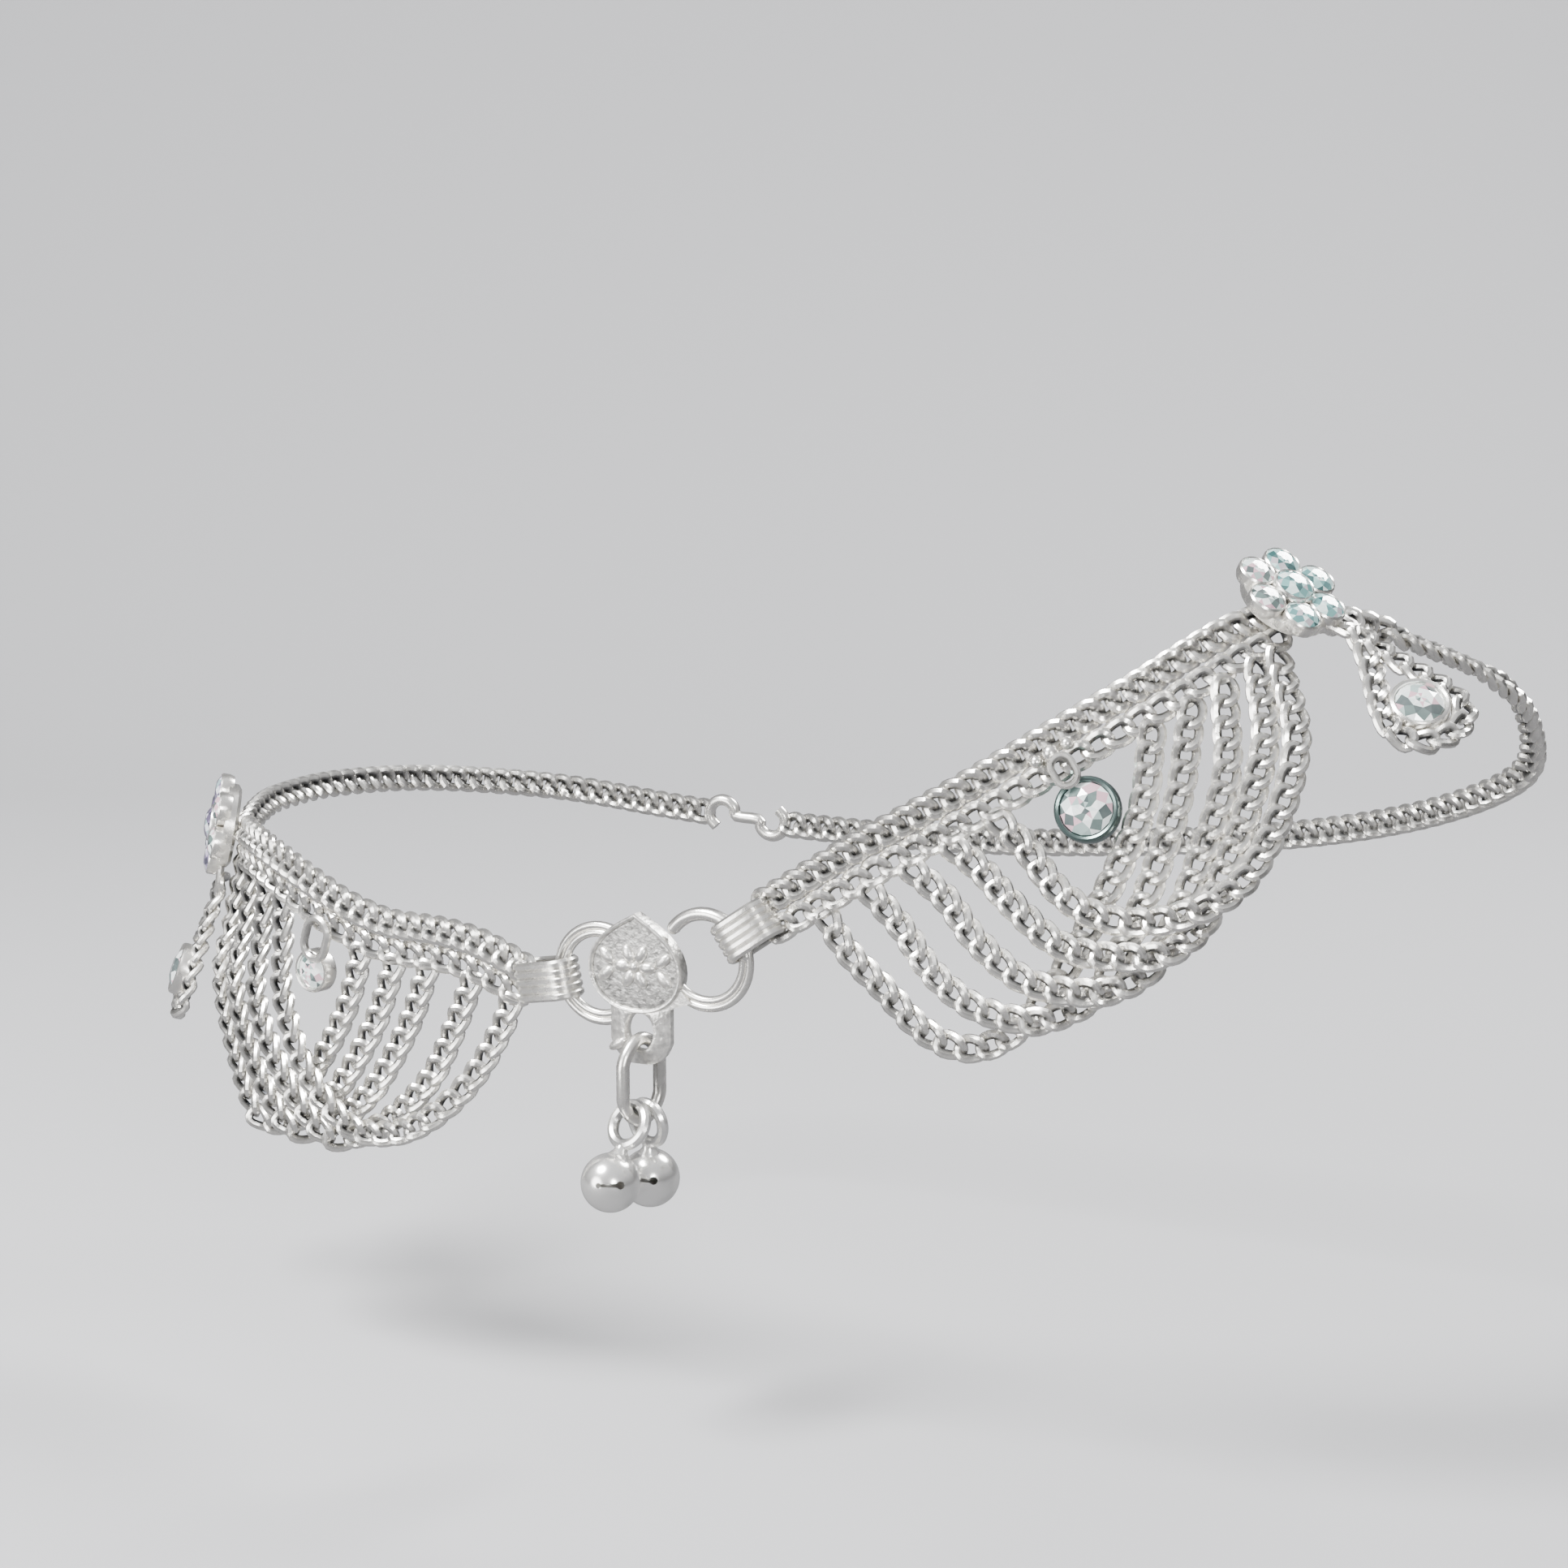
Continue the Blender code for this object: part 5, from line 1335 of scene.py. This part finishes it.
@dataclass
class ChainWork:
    """Bands, lower chains, strands and the end bundles. Routes and widths are in millimetres."""

    shop: Workshop
    block: HeartBlock
    lift: float = 1.0
    band_width: float = 2.4
    tube: float = 1.5
    gap: float = 0.45
    tuck: float = 0.4
    toe_band: Pairs = ((11.2, 5.9), (18.8, 10.9), (26.3, 15.5), (33.3, 20.1), (39.7, 24.4), (43.4, 27.2))
    toe_tail: Pair = (45.6, 28.6)
    heel_band: Pairs = ((-11.9, -2.2), (-15.5, -0.9), (-20.0, -0.2), (-26.0, -0.1), (-30.2, 1.0),
                        (-34.0, 2.4), (-38.0, 3.6), (-43.0, 4.4), (-48.0, 4.3), (-52.6, 3.4))
    heel_chain_end: float = -51.5
    steps: int = 16
    join_back: int = 20
    join_share: float = 0.22
    instep: Pairs = ((46.2, -6.8), (50.8, -1.8), (55.0, 1.8), (59.0, 5.4), (60.8, 10.2))
    far: Pairs = ((60.2, 14.2), (56.5, 10.8), (48.0, 7.2), (36.0, 4.2), (20.0, 1.8), (4.0, 0.4),
                  (-12.0, 0.2), (-26.0, 1.0), (-38.0, 2.2), (-50.0, 3.4), (-60.0, 4.2))
    heel_turn: Pairs = ((-63.0, 4.4), (-58.0, 4.0), (-53.3, 3.4))
    clasp_at: float = -19.0
    clasp_half: float = 4.5
    hook_wire: float = 0.00055
    hook_bend: float = 0.0014
    hook_end: float = 0.00085
    hook_curl: float = 1.35
    loops: int = 5
    loop_pitch: float = 0.00066
    loop_wire: float = 0.00076
    loop_width: float = 0.0027
    loop_back: float = 0.0013
    loop_lift: float = 0.00055
    loop_hold: float = 0.6
    loop_over: float = 0.0001

    def band_route(self, end: End) -> Route:
        """Dense (q, z) points of one end's band, with the lower chain's tail on the toe end."""
        chosen = (*self.toe_band, self.toe_tail) if end is End.TOE else self.heel_band
        return spline([Vector(p) for p in chosen], self.steps)

    def chain(self, name: str, points: Route, style: LinkStyle, node: str) -> None:
        """Build and seat one chain along points on the ankle."""
        self.shop.links(name, points, [Ankle.outward(p) for p in points], style, node)

    def near(self, spots: Route) -> Route:
        """Points (q, z) set on the near side at the chains' lift, in metres."""
        return [Ankle.on_side(p.x, p.y, self.lift) for p in spots]

    def lower(self, end: End) -> Route:
        """Centreline of a lower chain.

        Args:
            end: Toe or heel.

        Returns:
            Its points in metres.
        """
        points = self.near(aside(self.band_route(end), (self.band_width + self.tube) / 2 + self.gap))
        if end is End.HEEL:
            last = Ankle.on_side(self.heel_chain_end, 0, self.lift).x
            points = [p for p in points if p.x > last]
        return points

    def build(self) -> None:
        """Build every chain and bundle."""
        toe = self.near(spline([Vector(p) for p in self.toe_band], self.steps))
        heel = self.near(self.band_route(End.HEEL))
        instep = [Ankle.on_top(x, y, self.lift) for x, y in self.instep]
        join = spline([toe[-self.join_back], toe[-1], instep[0]], self.steps)
        self.chain("band_toe_links", toe[:-self.join_back] + join, BAND_LINK, "band_toe")
        self.chain("band_heel_links", heel, BAND_LINK, "band_heel")
        far = [Ankle.on_side(q, z, self.lift, Side.FAR) for q, z in self.far]
        turn = [Ankle.on_side(q, z, self.lift) for q, z in self.heel_turn]
        start = instep[0].lerp(instep[1], self.join_share)
        back = spline([start, *instep[1:], *far, *turn], self.steps)
        half, clasp = self.clasp_half * MM, self.clasp_at * MM
        first = next(i for i, p in enumerate(back) if p.y > 0 and p.x < clasp + half)
        last = next(i for i, p in enumerate(back) if i > first and p.x < clasp - half)
        self.chain("band_far_toe_links", back[:first], BAND_LINK, "band_far_toe")
        self.chain("band_far_heel_links", back[last:], BAND_LINK, "band_far_heel")
        self._hook(back[first - 1], back[last])
        for end, band in ((End.TOE, toe), (End.HEEL, heel)):
            lower, node = self.lower(end), f"lower_chain_{end.value}"
            self.chain(node + "_links", lower, LOWER_LINK, node)
            self._strands(end)
            self._bundle(end, band[0], band[1], lower[0])

    def _strands(self, end: End) -> None:
        """Build the five strands of one end, hung just under its lower chain.

        Args:
            end: Toe or heel.
        """
        under = (self.band_width + self.tube) / 2 + self.tube + 2 * self.gap - self.tuck
        hang = aside(self.band_route(end), under)
        for number, (plate_q, flower_q, between) in enumerate(STRANDS[end], start=1):
            first, last = ((*at_q(hang, q), self.lift) for q in (plate_q, flower_q))
            points = [Ankle.on_side(*p) for p in spline([Vector(p) for p in (first, *between, last)])]
            node = f"strand_{end.value}_{number}"
            self.chain(node + "_links", points, STRAND_LINK, node)

    def _hook(self, start: Vector, end: Vector) -> None:
        """Build and seat the plain hook.

        Args:
            start: End of the band that it holds.
            end: Start of the band that it holds.
        """
        along = (end - start).normalized()
        middle = start.lerp(end, 0.5)
        out = Ankle.outward(middle)
        up = out.cross(along).normalized()
        bend = self.hook_bend
        half = (end - start).length / 2 - self.hook_end - bend
        turns = [math.pi * self.hook_curl * (1 - i / 8) for i in range(9)]
        points = [middle - along * (half - bend * math.cos(a)) - up * bend * math.sin(a) for a in turns]
        line = spline([*points, *(2 * middle - p for p in reversed(points))], 3)
        wire = disc(self.hook_wire, 12)
        self.shop.piece("hook", lambda bm: sweep(bm, line, out, wire, False), SATIN, "clasp_hook")

    def _bundle(self, end: End, start: Vector, after: Vector, chain: Vector) -> None:
        """Build and seat the wire loops between a lug and the chains.

        Args:
            end: Toe or heel.
            start: First point of the band.
            after: Second point of the band.
            chain: First point of the lower chain.
        """
        lug_x, lug_y, radius = self.block.right if end is End.TOE else self.block.left
        place = self.block.place()
        out = Ankle.outward(start)
        target = start.lerp(chain, 0.5) + out * self.loop_lift
        aim = place.inverted() @ target
        angle = math.atan2(aim.y - lug_y, aim.x - lug_x)
        anchor = place @ Vector((lug_x + radius * math.cos(angle), lug_y + radius * math.sin(angle), 0))
        along = (target - anchor).normalized()
        stack = out.cross(along).normalized()
        edge = out.cross(after - start).normalized() * self.band_width / 2 * MM
        hold = edge * self.loop_hold
        ends = (start + edge, start - edge, chain + hold, chain - hold)
        reach = min((spot - anchor).dot(along) for spot in ends) + self.loop_over
        centre = anchor + along * (reach - self.loop_back) / 2

        def loops(bm: BMesh) -> None:
            """Add the loops.

            Args:
                bm: The mesh to add to.
            """
            for i in range(self.loops):
                spot = frame_at(centre + stack * (i - (self.loops - 1) / 2) * self.loop_pitch, along, stack)
                add_wire_loop(bm, spot, reach + self.loop_back, self.loop_width, self.loop_wire, 28, 8)

        self.shop.piece(f"bundle_{end.value}", loops, SATIN, f"end_bundle_{end.value}")


@dataclass
class StoneWork:
    """Bezel drops, flowers and pendants."""

    shop: Workshop
    chains: ChainWork
    # Drops: q and z of the stone, bezel width, ring width, ring wire.
    drops: dict[End, tuple[float, ...]] = field(default_factory=lambda: {
        End.TOE: (36.7, 14.6, 0.0052, 0.0017, 0.0006), End.HEEL: (-33.4, -5.2, 0.0038, 0.0025, 0.00078)})
    drop_lift: float = 0.6
    ring_lift: float = 0.0018
    ring_grip: float = 0.00045
    ring_over: float = 0.00055
    bezel_height: float = 0.0016
    bezel_wall: float = 0.21
    # Section of a bezel: its foot's share of the radius, its lip from the outer side as shares of the wall
    # and the height, and its floor as shares of the inner radius and the height.
    bezel_foot: float = 0.90
    bezel_lip: Pairs = ((0, 0.16), (0, 0.80), (0.16, 0.95), (0.40, 1), (0.75, 0.95), (1, 0.78))
    bezel_floor: Pairs = ((0.75, 0.3), (0, 0.25))
    gem_grip: float = 0.05
    gem_level: float = 0.82
    # Pendants: top of the loop and middle of the stone as they are set on the ankle, turn in degrees, and
    # how far the setting lies behind the loop's middle.
    pendants: dict[End, tuple[Triple, Triple, float, float]] = field(default_factory=lambda: {
        End.TOE: ((51.7, -5.5, 2.4), (58.4, -8.6, 1.9), 22, 0.0008),
        End.HEEL: ((-52.0, -2.8, 2.6), (-52.0, -9.4, 4.6), 0, 0.0002)})
    pendant_bezel: float = 0.0048
    pendant_width: float = 0.0062
    pendant_neck: float = 3.3
    pendant_over: float = 0.0012
    pendant_under: float = 0.0034
    pendant_steps: int = 96
    heel_run: int = 20
    flower_lift: float = 0.0023
    flower_steps: Pairs = ((0.0034, -0.0004), (0.0038, -0.0001), (0.0039, 0.0008), (0.0035, 0.0009))
    petals: int = 6
    petal_ring: float = 0.00305
    clear_side: float = -0.1
    # Middle stone: height over the others, width as a share of theirs.
    middle: Pair = (0.0004, 1.12)
    cup: float = 0.00156
    cup_level: float = 0.0004
    cup_height: float = 0.0012
    # Section of a cup: shares of its radius and its height.
    cup_steps: Pairs = ((0.90, 0), (1, 0.35), (1, 0.88), (0.93, 1), (0.84, 0.86), (0, 0.4))
    stone_share: float = 0.87
    stone_level: float = 0.00112
    loop_root: float = 0.00045
    loop_start: float = 0.0037
    loop_end: float = 0.0006
    loop_least: float = 0.0016
    loop_width: float = 0.0019
    loop_wire: float = 0.00062
    solder_route: float = 1.2
    # Solder drops: q, lift and radius.
    solder_drops: Triples = ((32.2, 1.5, 0.00055), (33.2, 1.7, 0.00065), (34.3, 1.6, 0.0005))

    def setting(self, name: str, radius: float, place: Matrix, metal: Finish, node: str) -> None:
        """Build and seat a round bezel with its clear stone.

        Args:
            name: Its name.
            radius: Outer radius of the bezel.
            place: Its matrix, Z out.
            metal: Finish of the bezel.
            node: CAD node that it replaces.
        """
        height = self.bezel_height
        wall = self.bezel_wall * radius
        inner = radius - wall
        section = [(self.bezel_foot * radius, 0),
                   *((radius - share * wall, level * height) for share, level in self.bezel_lip),
                   *((share * inner, level * height) for share, level in self.bezel_floor)]
        self.shop.piece(name + "_bezel", lambda bm: add_turned(bm, section, 40, place), metal, node)
        wide, level = inner + self.gem_grip * wall, self.gem_level * height
        self.shop.piece(name + "_gem", lambda bm: add_brilliant(bm, wide, level, place, CLEAR, len(name)),
                        CLEAR, sharp=1)

    def drop(self, end: End, metal: Finish) -> None:
        """Build and seat the stone drop under a lower chain, with its ring.

        Args:
            end: Toe or heel.
            metal: Finish of its bezel.
        """
        q, z, bezel, width, wire = self.drops[end]
        above = Ankle.on_side(q, z, self.chains.lift)
        top = min(self.chains.lower(end), key=lambda p: (p - above).length)
        centre = Ankle.on_side(q, z, self.drop_lift)
        out = Ankle.outward(centre)
        up = top - centre
        up = up - out * up.dot(out)
        low, high = bezel / 2 - self.ring_grip, up.length + self.ring_over
        up.normalize()
        name = f"stone_drop_{end.value}"
        self.setting(name, bezel / 2, frame_at(centre, out.cross(up), out), metal, name)
        middle = frame_at(centre + up * (low + high) / 2 + out * self.ring_lift, up, out)
        self.shop.piece(name + "_ring", lambda bm: add_wire_loop(
            bm, middle, high - low, min(high - low, width), wire, 28, 8), SATIN)

    @staticmethod
    def _on(end: End, spot: Triple) -> Vector:
        """Point on the instep for the toe end, and on the ankle's near side for the heel end."""
        return Ankle.on_top(*spot) if end is End.TOE else Ankle.on_side(*spot)

    def flower(self, end: End, foot: Pair, along: Vector) -> None:
        """Build and seat a flower of seven stones.

        Args:
            end: Toe or heel.
            foot: Its place on the ankle.
            along: Direction of the band there.
        """
        centre = self._on(end, (*foot, 0))
        out = Ankle.outward(centre)
        base = centre + out * self.flower_lift
        place = frame_at(base, along, out)
        name = f"flower_{end.value}"
        # The heel flower's aqua stones take the darker copy: painted shade.
        tinted = AQUA if end is End.TOE else AQUA_SHADED
        level, cup = self.cup_level, self.cup
        turns = [2 * math.pi * (i + 0.5) / self.petals for i in range(self.petals)]
        stones = [(place @ Matrix.Translation(polar(self.petal_ring, a, level)), 0.0, cup,
                   tinted if math.cos(a) > self.clear_side else CLEAR) for a in turns]
        rise, share = self.middle
        stones.append((place @ Matrix.Translation((0, 0, level)), rise, share * cup, tinted))

        def metal(bm: BMesh) -> None:
            """Add the base plate, the cups and the loop towards the pendant.

            Args:
                bm: The mesh to add to.
            """
            add_turned(bm, self.flower_steps, 40, place)
            for spot, rise, radius, _ in stones:
                top = self.cup_height + rise
                add_turned(bm, [(share * radius, level * top) for share, level in self.cup_steps], 20, spot)
            root = base + out * self.loop_root
            way = self._on(end, self.pendants[end][0]) - root
            size = max(self.loop_least, way.length - self.loop_start + self.loop_end)
            middle = root + way.normalized() * (self.loop_start + way.length - self.loop_end) / 2
            wide, wire = min(size, self.loop_width), self.loop_wire
            add_wire_loop(bm, frame_at(middle, way, out), size, wide, wire, 24, 8)

        def gems(bm: BMesh, wanted: Finish) -> None:
            """Add the stones of one finish.

            Args:
                bm: The mesh to add to.
                wanted: The finish.
            """
            for number, (spot, rise, radius, finish) in enumerate(stones, start=len(name)):
                if finish is wanted:
                    size, height = self.stone_share * radius, self.stone_level + rise
                    add_brilliant(bm, size, height, spot, finish, number)

        self.shop.piece(name + "_setting", metal, SATIN, name)
        for finish, label in ((tinted, "tinted"), (CLEAR, "clear")):
            self.shop.piece(f"{name}_{label}", lambda bm: gems(bm, finish), finish, sharp=1)

    def pendant(self, end: End) -> None:
        """Build and seat a teardrop loop of links with its stone, both turned about their length.

        Args:
            end: Toe or heel.
        """
        *spots, roll, sink = self.pendants[end]
        top, centre = (self._on(end, spot) for spot in spots)
        down = (centre - top).normalized()
        out = Matrix.Rotation(math.radians(roll), 3, down) @ Ankle.outward(centre)
        out = (out - down * out.dot(down)).normalized()
        side = out.cross(down)
        top = top - down * self.pendant_over
        length = (centre - top).length + self.pendant_under
        angles = [2 * math.pi * i / self.pendant_steps for i in range(self.pendant_steps)]
        spreads = [math.sin(a) * math.sin(a / 2) ** self.pendant_neck for a in angles]
        half, widest = self.pendant_width / 2, max(spreads)
        line = [top + down * length * (1 - math.cos(a)) / 2 + side * half * s / widest
                for a, s in zip(angles, spreads)]
        node = f"pendant_{end.value}"
        self.shop.links(node + "_links", line, [out] * len(line), PENDANT_LINK, node + "_chain", True)
        place = frame_at(centre - out * sink, side, out)
        self.setting(node, self.pendant_bezel / 2, place, SATIN, node + "_stone")

    def solder(self) -> None:
        """Build and seat the small drops of solder between the band and its lower chain."""
        route = aside(self.chains.band_route(End.TOE), self.solder_route)

        def drops(bm: BMesh) -> None:
            """Add the drops.

            Args:
                bm: The mesh to add to.
            """
            for q, lift, radius in self.solder_drops:
                spot = at_q(route, q)
                add_bead(bm, Matrix.Translation(Ankle.on_side(*spot, lift)), radius, around=14, up=10)

        self.shop.piece("solder_drops", drops, SATIN)

    def build(self) -> None:
        """Build every stone piece."""
        self.drop(End.TOE, BEZEL)
        self.drop(End.HEEL, SATIN)
        here, after = self.chains.instep[:2]
        lift = self.chains.lift
        heel = self.chains.near(self.chains.band_route(End.HEEL))
        self.flower(End.TOE, here, Ankle.on_top(*after, lift) - Ankle.on_top(*here, lift))
        self.flower(End.HEEL, self.chains.heel_band[-1], heel[-1] - heel[-self.heel_run])
        for end in End:
            self.pendant(end)
        self.solder()


@dataclass
class Studio:
    """Floor, surroundings, lights and camera."""

    azimuth: float = math.radians(28)
    elevation: float = math.radians(11)
    distance: float = 0.298
    lens: float = 84.4
    target: Triple = (0.0, -0.0276, 0.0)
    right_shift: float = 0.0119
    up_shift: float = 0.0144
    floor_z: float = -0.040
    floor_front: float = -0.6
    floor_back: float = 0.25
    floor_bend: float = 0.15
    floor_half: float = 1.2
    floor_wall: float = 1.0
    floor_steps: int = 12
    sky_low: Triple = (0.05, 0.05, 0.055)
    sky_high: Triple = (0.72, 0.74, 0.77)
    # Shades between: height from -1 below to 1 above as a share, and grey.
    sky_steps: Pairs = ((0.46, 0.05), (0.56, 0.16), (0.72, 0.50))
    sky_blue: float = 1.04
    sky_seen: Triple = (0.74, 0.74, 0.75)
    floor_seen: Triple = (0.42, 0.42, 0.43)
    floor_mirrored: Triple = (0.10, 0.10, 0.105)
    # Lights: name, place from the target, width and power in watts.
    lights: tuple[tuple[str, Triple, float, float], ...] = (
        ("key", (-0.16, -0.20, 0.34), 0.18, 5.5), ("front", (-0.18, -0.34, 0.03), 0.25, 1.4),
        ("fill", (0.26, -0.30, 0.10), 0.10, 0.9), ("rim", (0.12, 0.30, 0.30), 0.16, 3.0))

    def axes(self) -> tuple[Vector, Vector, Vector]:
        """Axes of the camera.

        Returns:
            Right, up and view directions.
        """
        a, e = self.azimuth, self.elevation
        right = Vector((math.cos(a), math.sin(a), 0))
        up = Vector((-math.sin(a) * math.sin(e), math.cos(a) * math.sin(e), math.cos(e)))
        view = Vector((-math.sin(a) * math.cos(e), math.cos(a) * math.cos(e), -math.sin(e)))
        return right, up, view

    def build(self) -> None:
        """Build the stage."""
        self._floor()
        self._world()
        right, up, view = self.axes()
        target = Vector(self.target) + right * self.right_shift + up * self.up_shift
        camera = bpy.data.cameras.new("camera")
        camera.lens = self.lens
        camera.sensor_width = 36
        camera.clip_start = 0.01
        eye = bpy.data.objects.new("camera", camera)
        eye.matrix_world = Matrix.Translation(target - view * self.distance) @ Matrix(
            (right, up, -view)).transposed().to_4x4()
        bpy.context.scene.collection.objects.link(eye)
        bpy.context.scene.camera = eye
        for name, shift, size, power in self.lights:
            self._light(name, target + Vector(shift), target, size, power)

    def _floor(self) -> None:
        """Build the plain pale floor with its swept back, darker in reflections."""
        view = self.axes()[2]
        back = Vector((view.x, view.y, 0)).normalized()
        across = Vector((back.y, -back.x, 0))
        turns = [math.radians(90 * i / self.floor_steps) for i in range(self.floor_steps + 1)]
        bend, start = self.floor_bend, self.floor_back
        swept = [(start + bend * math.sin(a), bend * (1 - math.cos(a))) for a in turns]
        profile = [(self.floor_front, 0.0), *swept, (start + bend, self.floor_wall)]
        spots = [back * reach + across * side + Vector((0, 0, self.floor_z + height))
                 for reach, height in profile for side in (-self.floor_half, self.floor_half)]
        faces = [(i, i + 1, i + 3, i + 2) for i in range(0, len(spots) - 2, 2)]
        data = bpy.data.meshes.new("floor")
        data.from_pydata([tuple(p) for p in spots], [], faces)
        data.shade_smooth()
        floor = bpy.data.objects.new("floor", data)
        paint = bpy.data.materials.new("floor")
        paint.use_nodes = True
        wiring = Wiring(paint.node_tree)
        wiring.put("shader", paint.node_tree.nodes["Principled BSDF"],
                   {"Roughness": 0.8, "Specular IOR Level": 0.1})
        wiring.add("rays", "ShaderNodeLightPath")
        wiring.mix("mix", self.floor_seen, self.floor_mirrored)
        wiring.link("rays.Is Glossy Ray > mix.0", "mix.2 > shader.Base Color")
        data.materials.append(paint)
        bpy.context.scene.collection.objects.link(floor)

    def _world(self) -> None:
        """Soft surroundings: a bright ceiling over dark walls, which give silver its contrast."""
        world = bpy.data.worlds.new("studio")
        world.use_nodes = True
        wiring = Wiring(world.node_tree)
        wiring.put("sky", world.node_tree.nodes["Background"], {"Strength": 1.0})
        wiring.add("place", "ShaderNodeTexCoord")
        wiring.add("axes", "ShaderNodeSeparateXYZ")
        wiring.add("spread", "ShaderNodeMapRange", {"From Min": -1.0})
        shades = wiring.add("ramp", "ShaderNodeValToRGB").color_ramp.elements
        shades[0].color = (*self.sky_low, 1)
        shades[1].color = (*self.sky_high, 1)
        for height, shade in self.sky_steps:
            shades.new(height).color = (shade, shade, shade * self.sky_blue, 1)
        wiring.add("rays", "ShaderNodeLightPath")
        wiring.mix("seen", second=self.sky_seen)
        wiring.link("place.Generated > axes.Vector", "axes.Z > spread.Value", "spread.Result > ramp.Fac",
                    "rays.Is Camera Ray > seen.0", "ramp.Color > seen.6", "seen.2 > sky.Color")
        bpy.context.scene.world = world

    @staticmethod
    def _light(name: str, place: Vector, target: Vector, size: float, power: float) -> None:
        """Add a soft area light.

        Args:
            name: Its name.
            place: Where it stands.
            target: Where it points.
            size: Its width.
            power: Its power in watts.
        """
        data = bpy.data.lights.new(name, "AREA")
        data.shape = "DISK"
        data.size = size
        data.energy = power
        lamp = bpy.data.objects.new(name, data)
        way = (target - place).normalized()
        lamp.matrix_world = Matrix.Translation(place) @ way.to_track_quat("-Z", "Y").to_matrix().to_4x4()
        bpy.context.scene.collection.objects.link(lamp)


def main() -> None:
    """Build the scene over the CAD frame."""
    logging.basicConfig(level=logging.INFO)
    for existing in list(bpy.data.objects):
        bpy.data.objects.remove(existing)
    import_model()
    shop = Workshop()
    block = HeartBlock(shop)
    block.build()
    BellDrop(shop, block).build()
    chains = ChainWork(shop, block)
    chains.build()
    StoneWork(shop, chains).build()
    Studio().build()


if __name__ == "__main__":
    main()
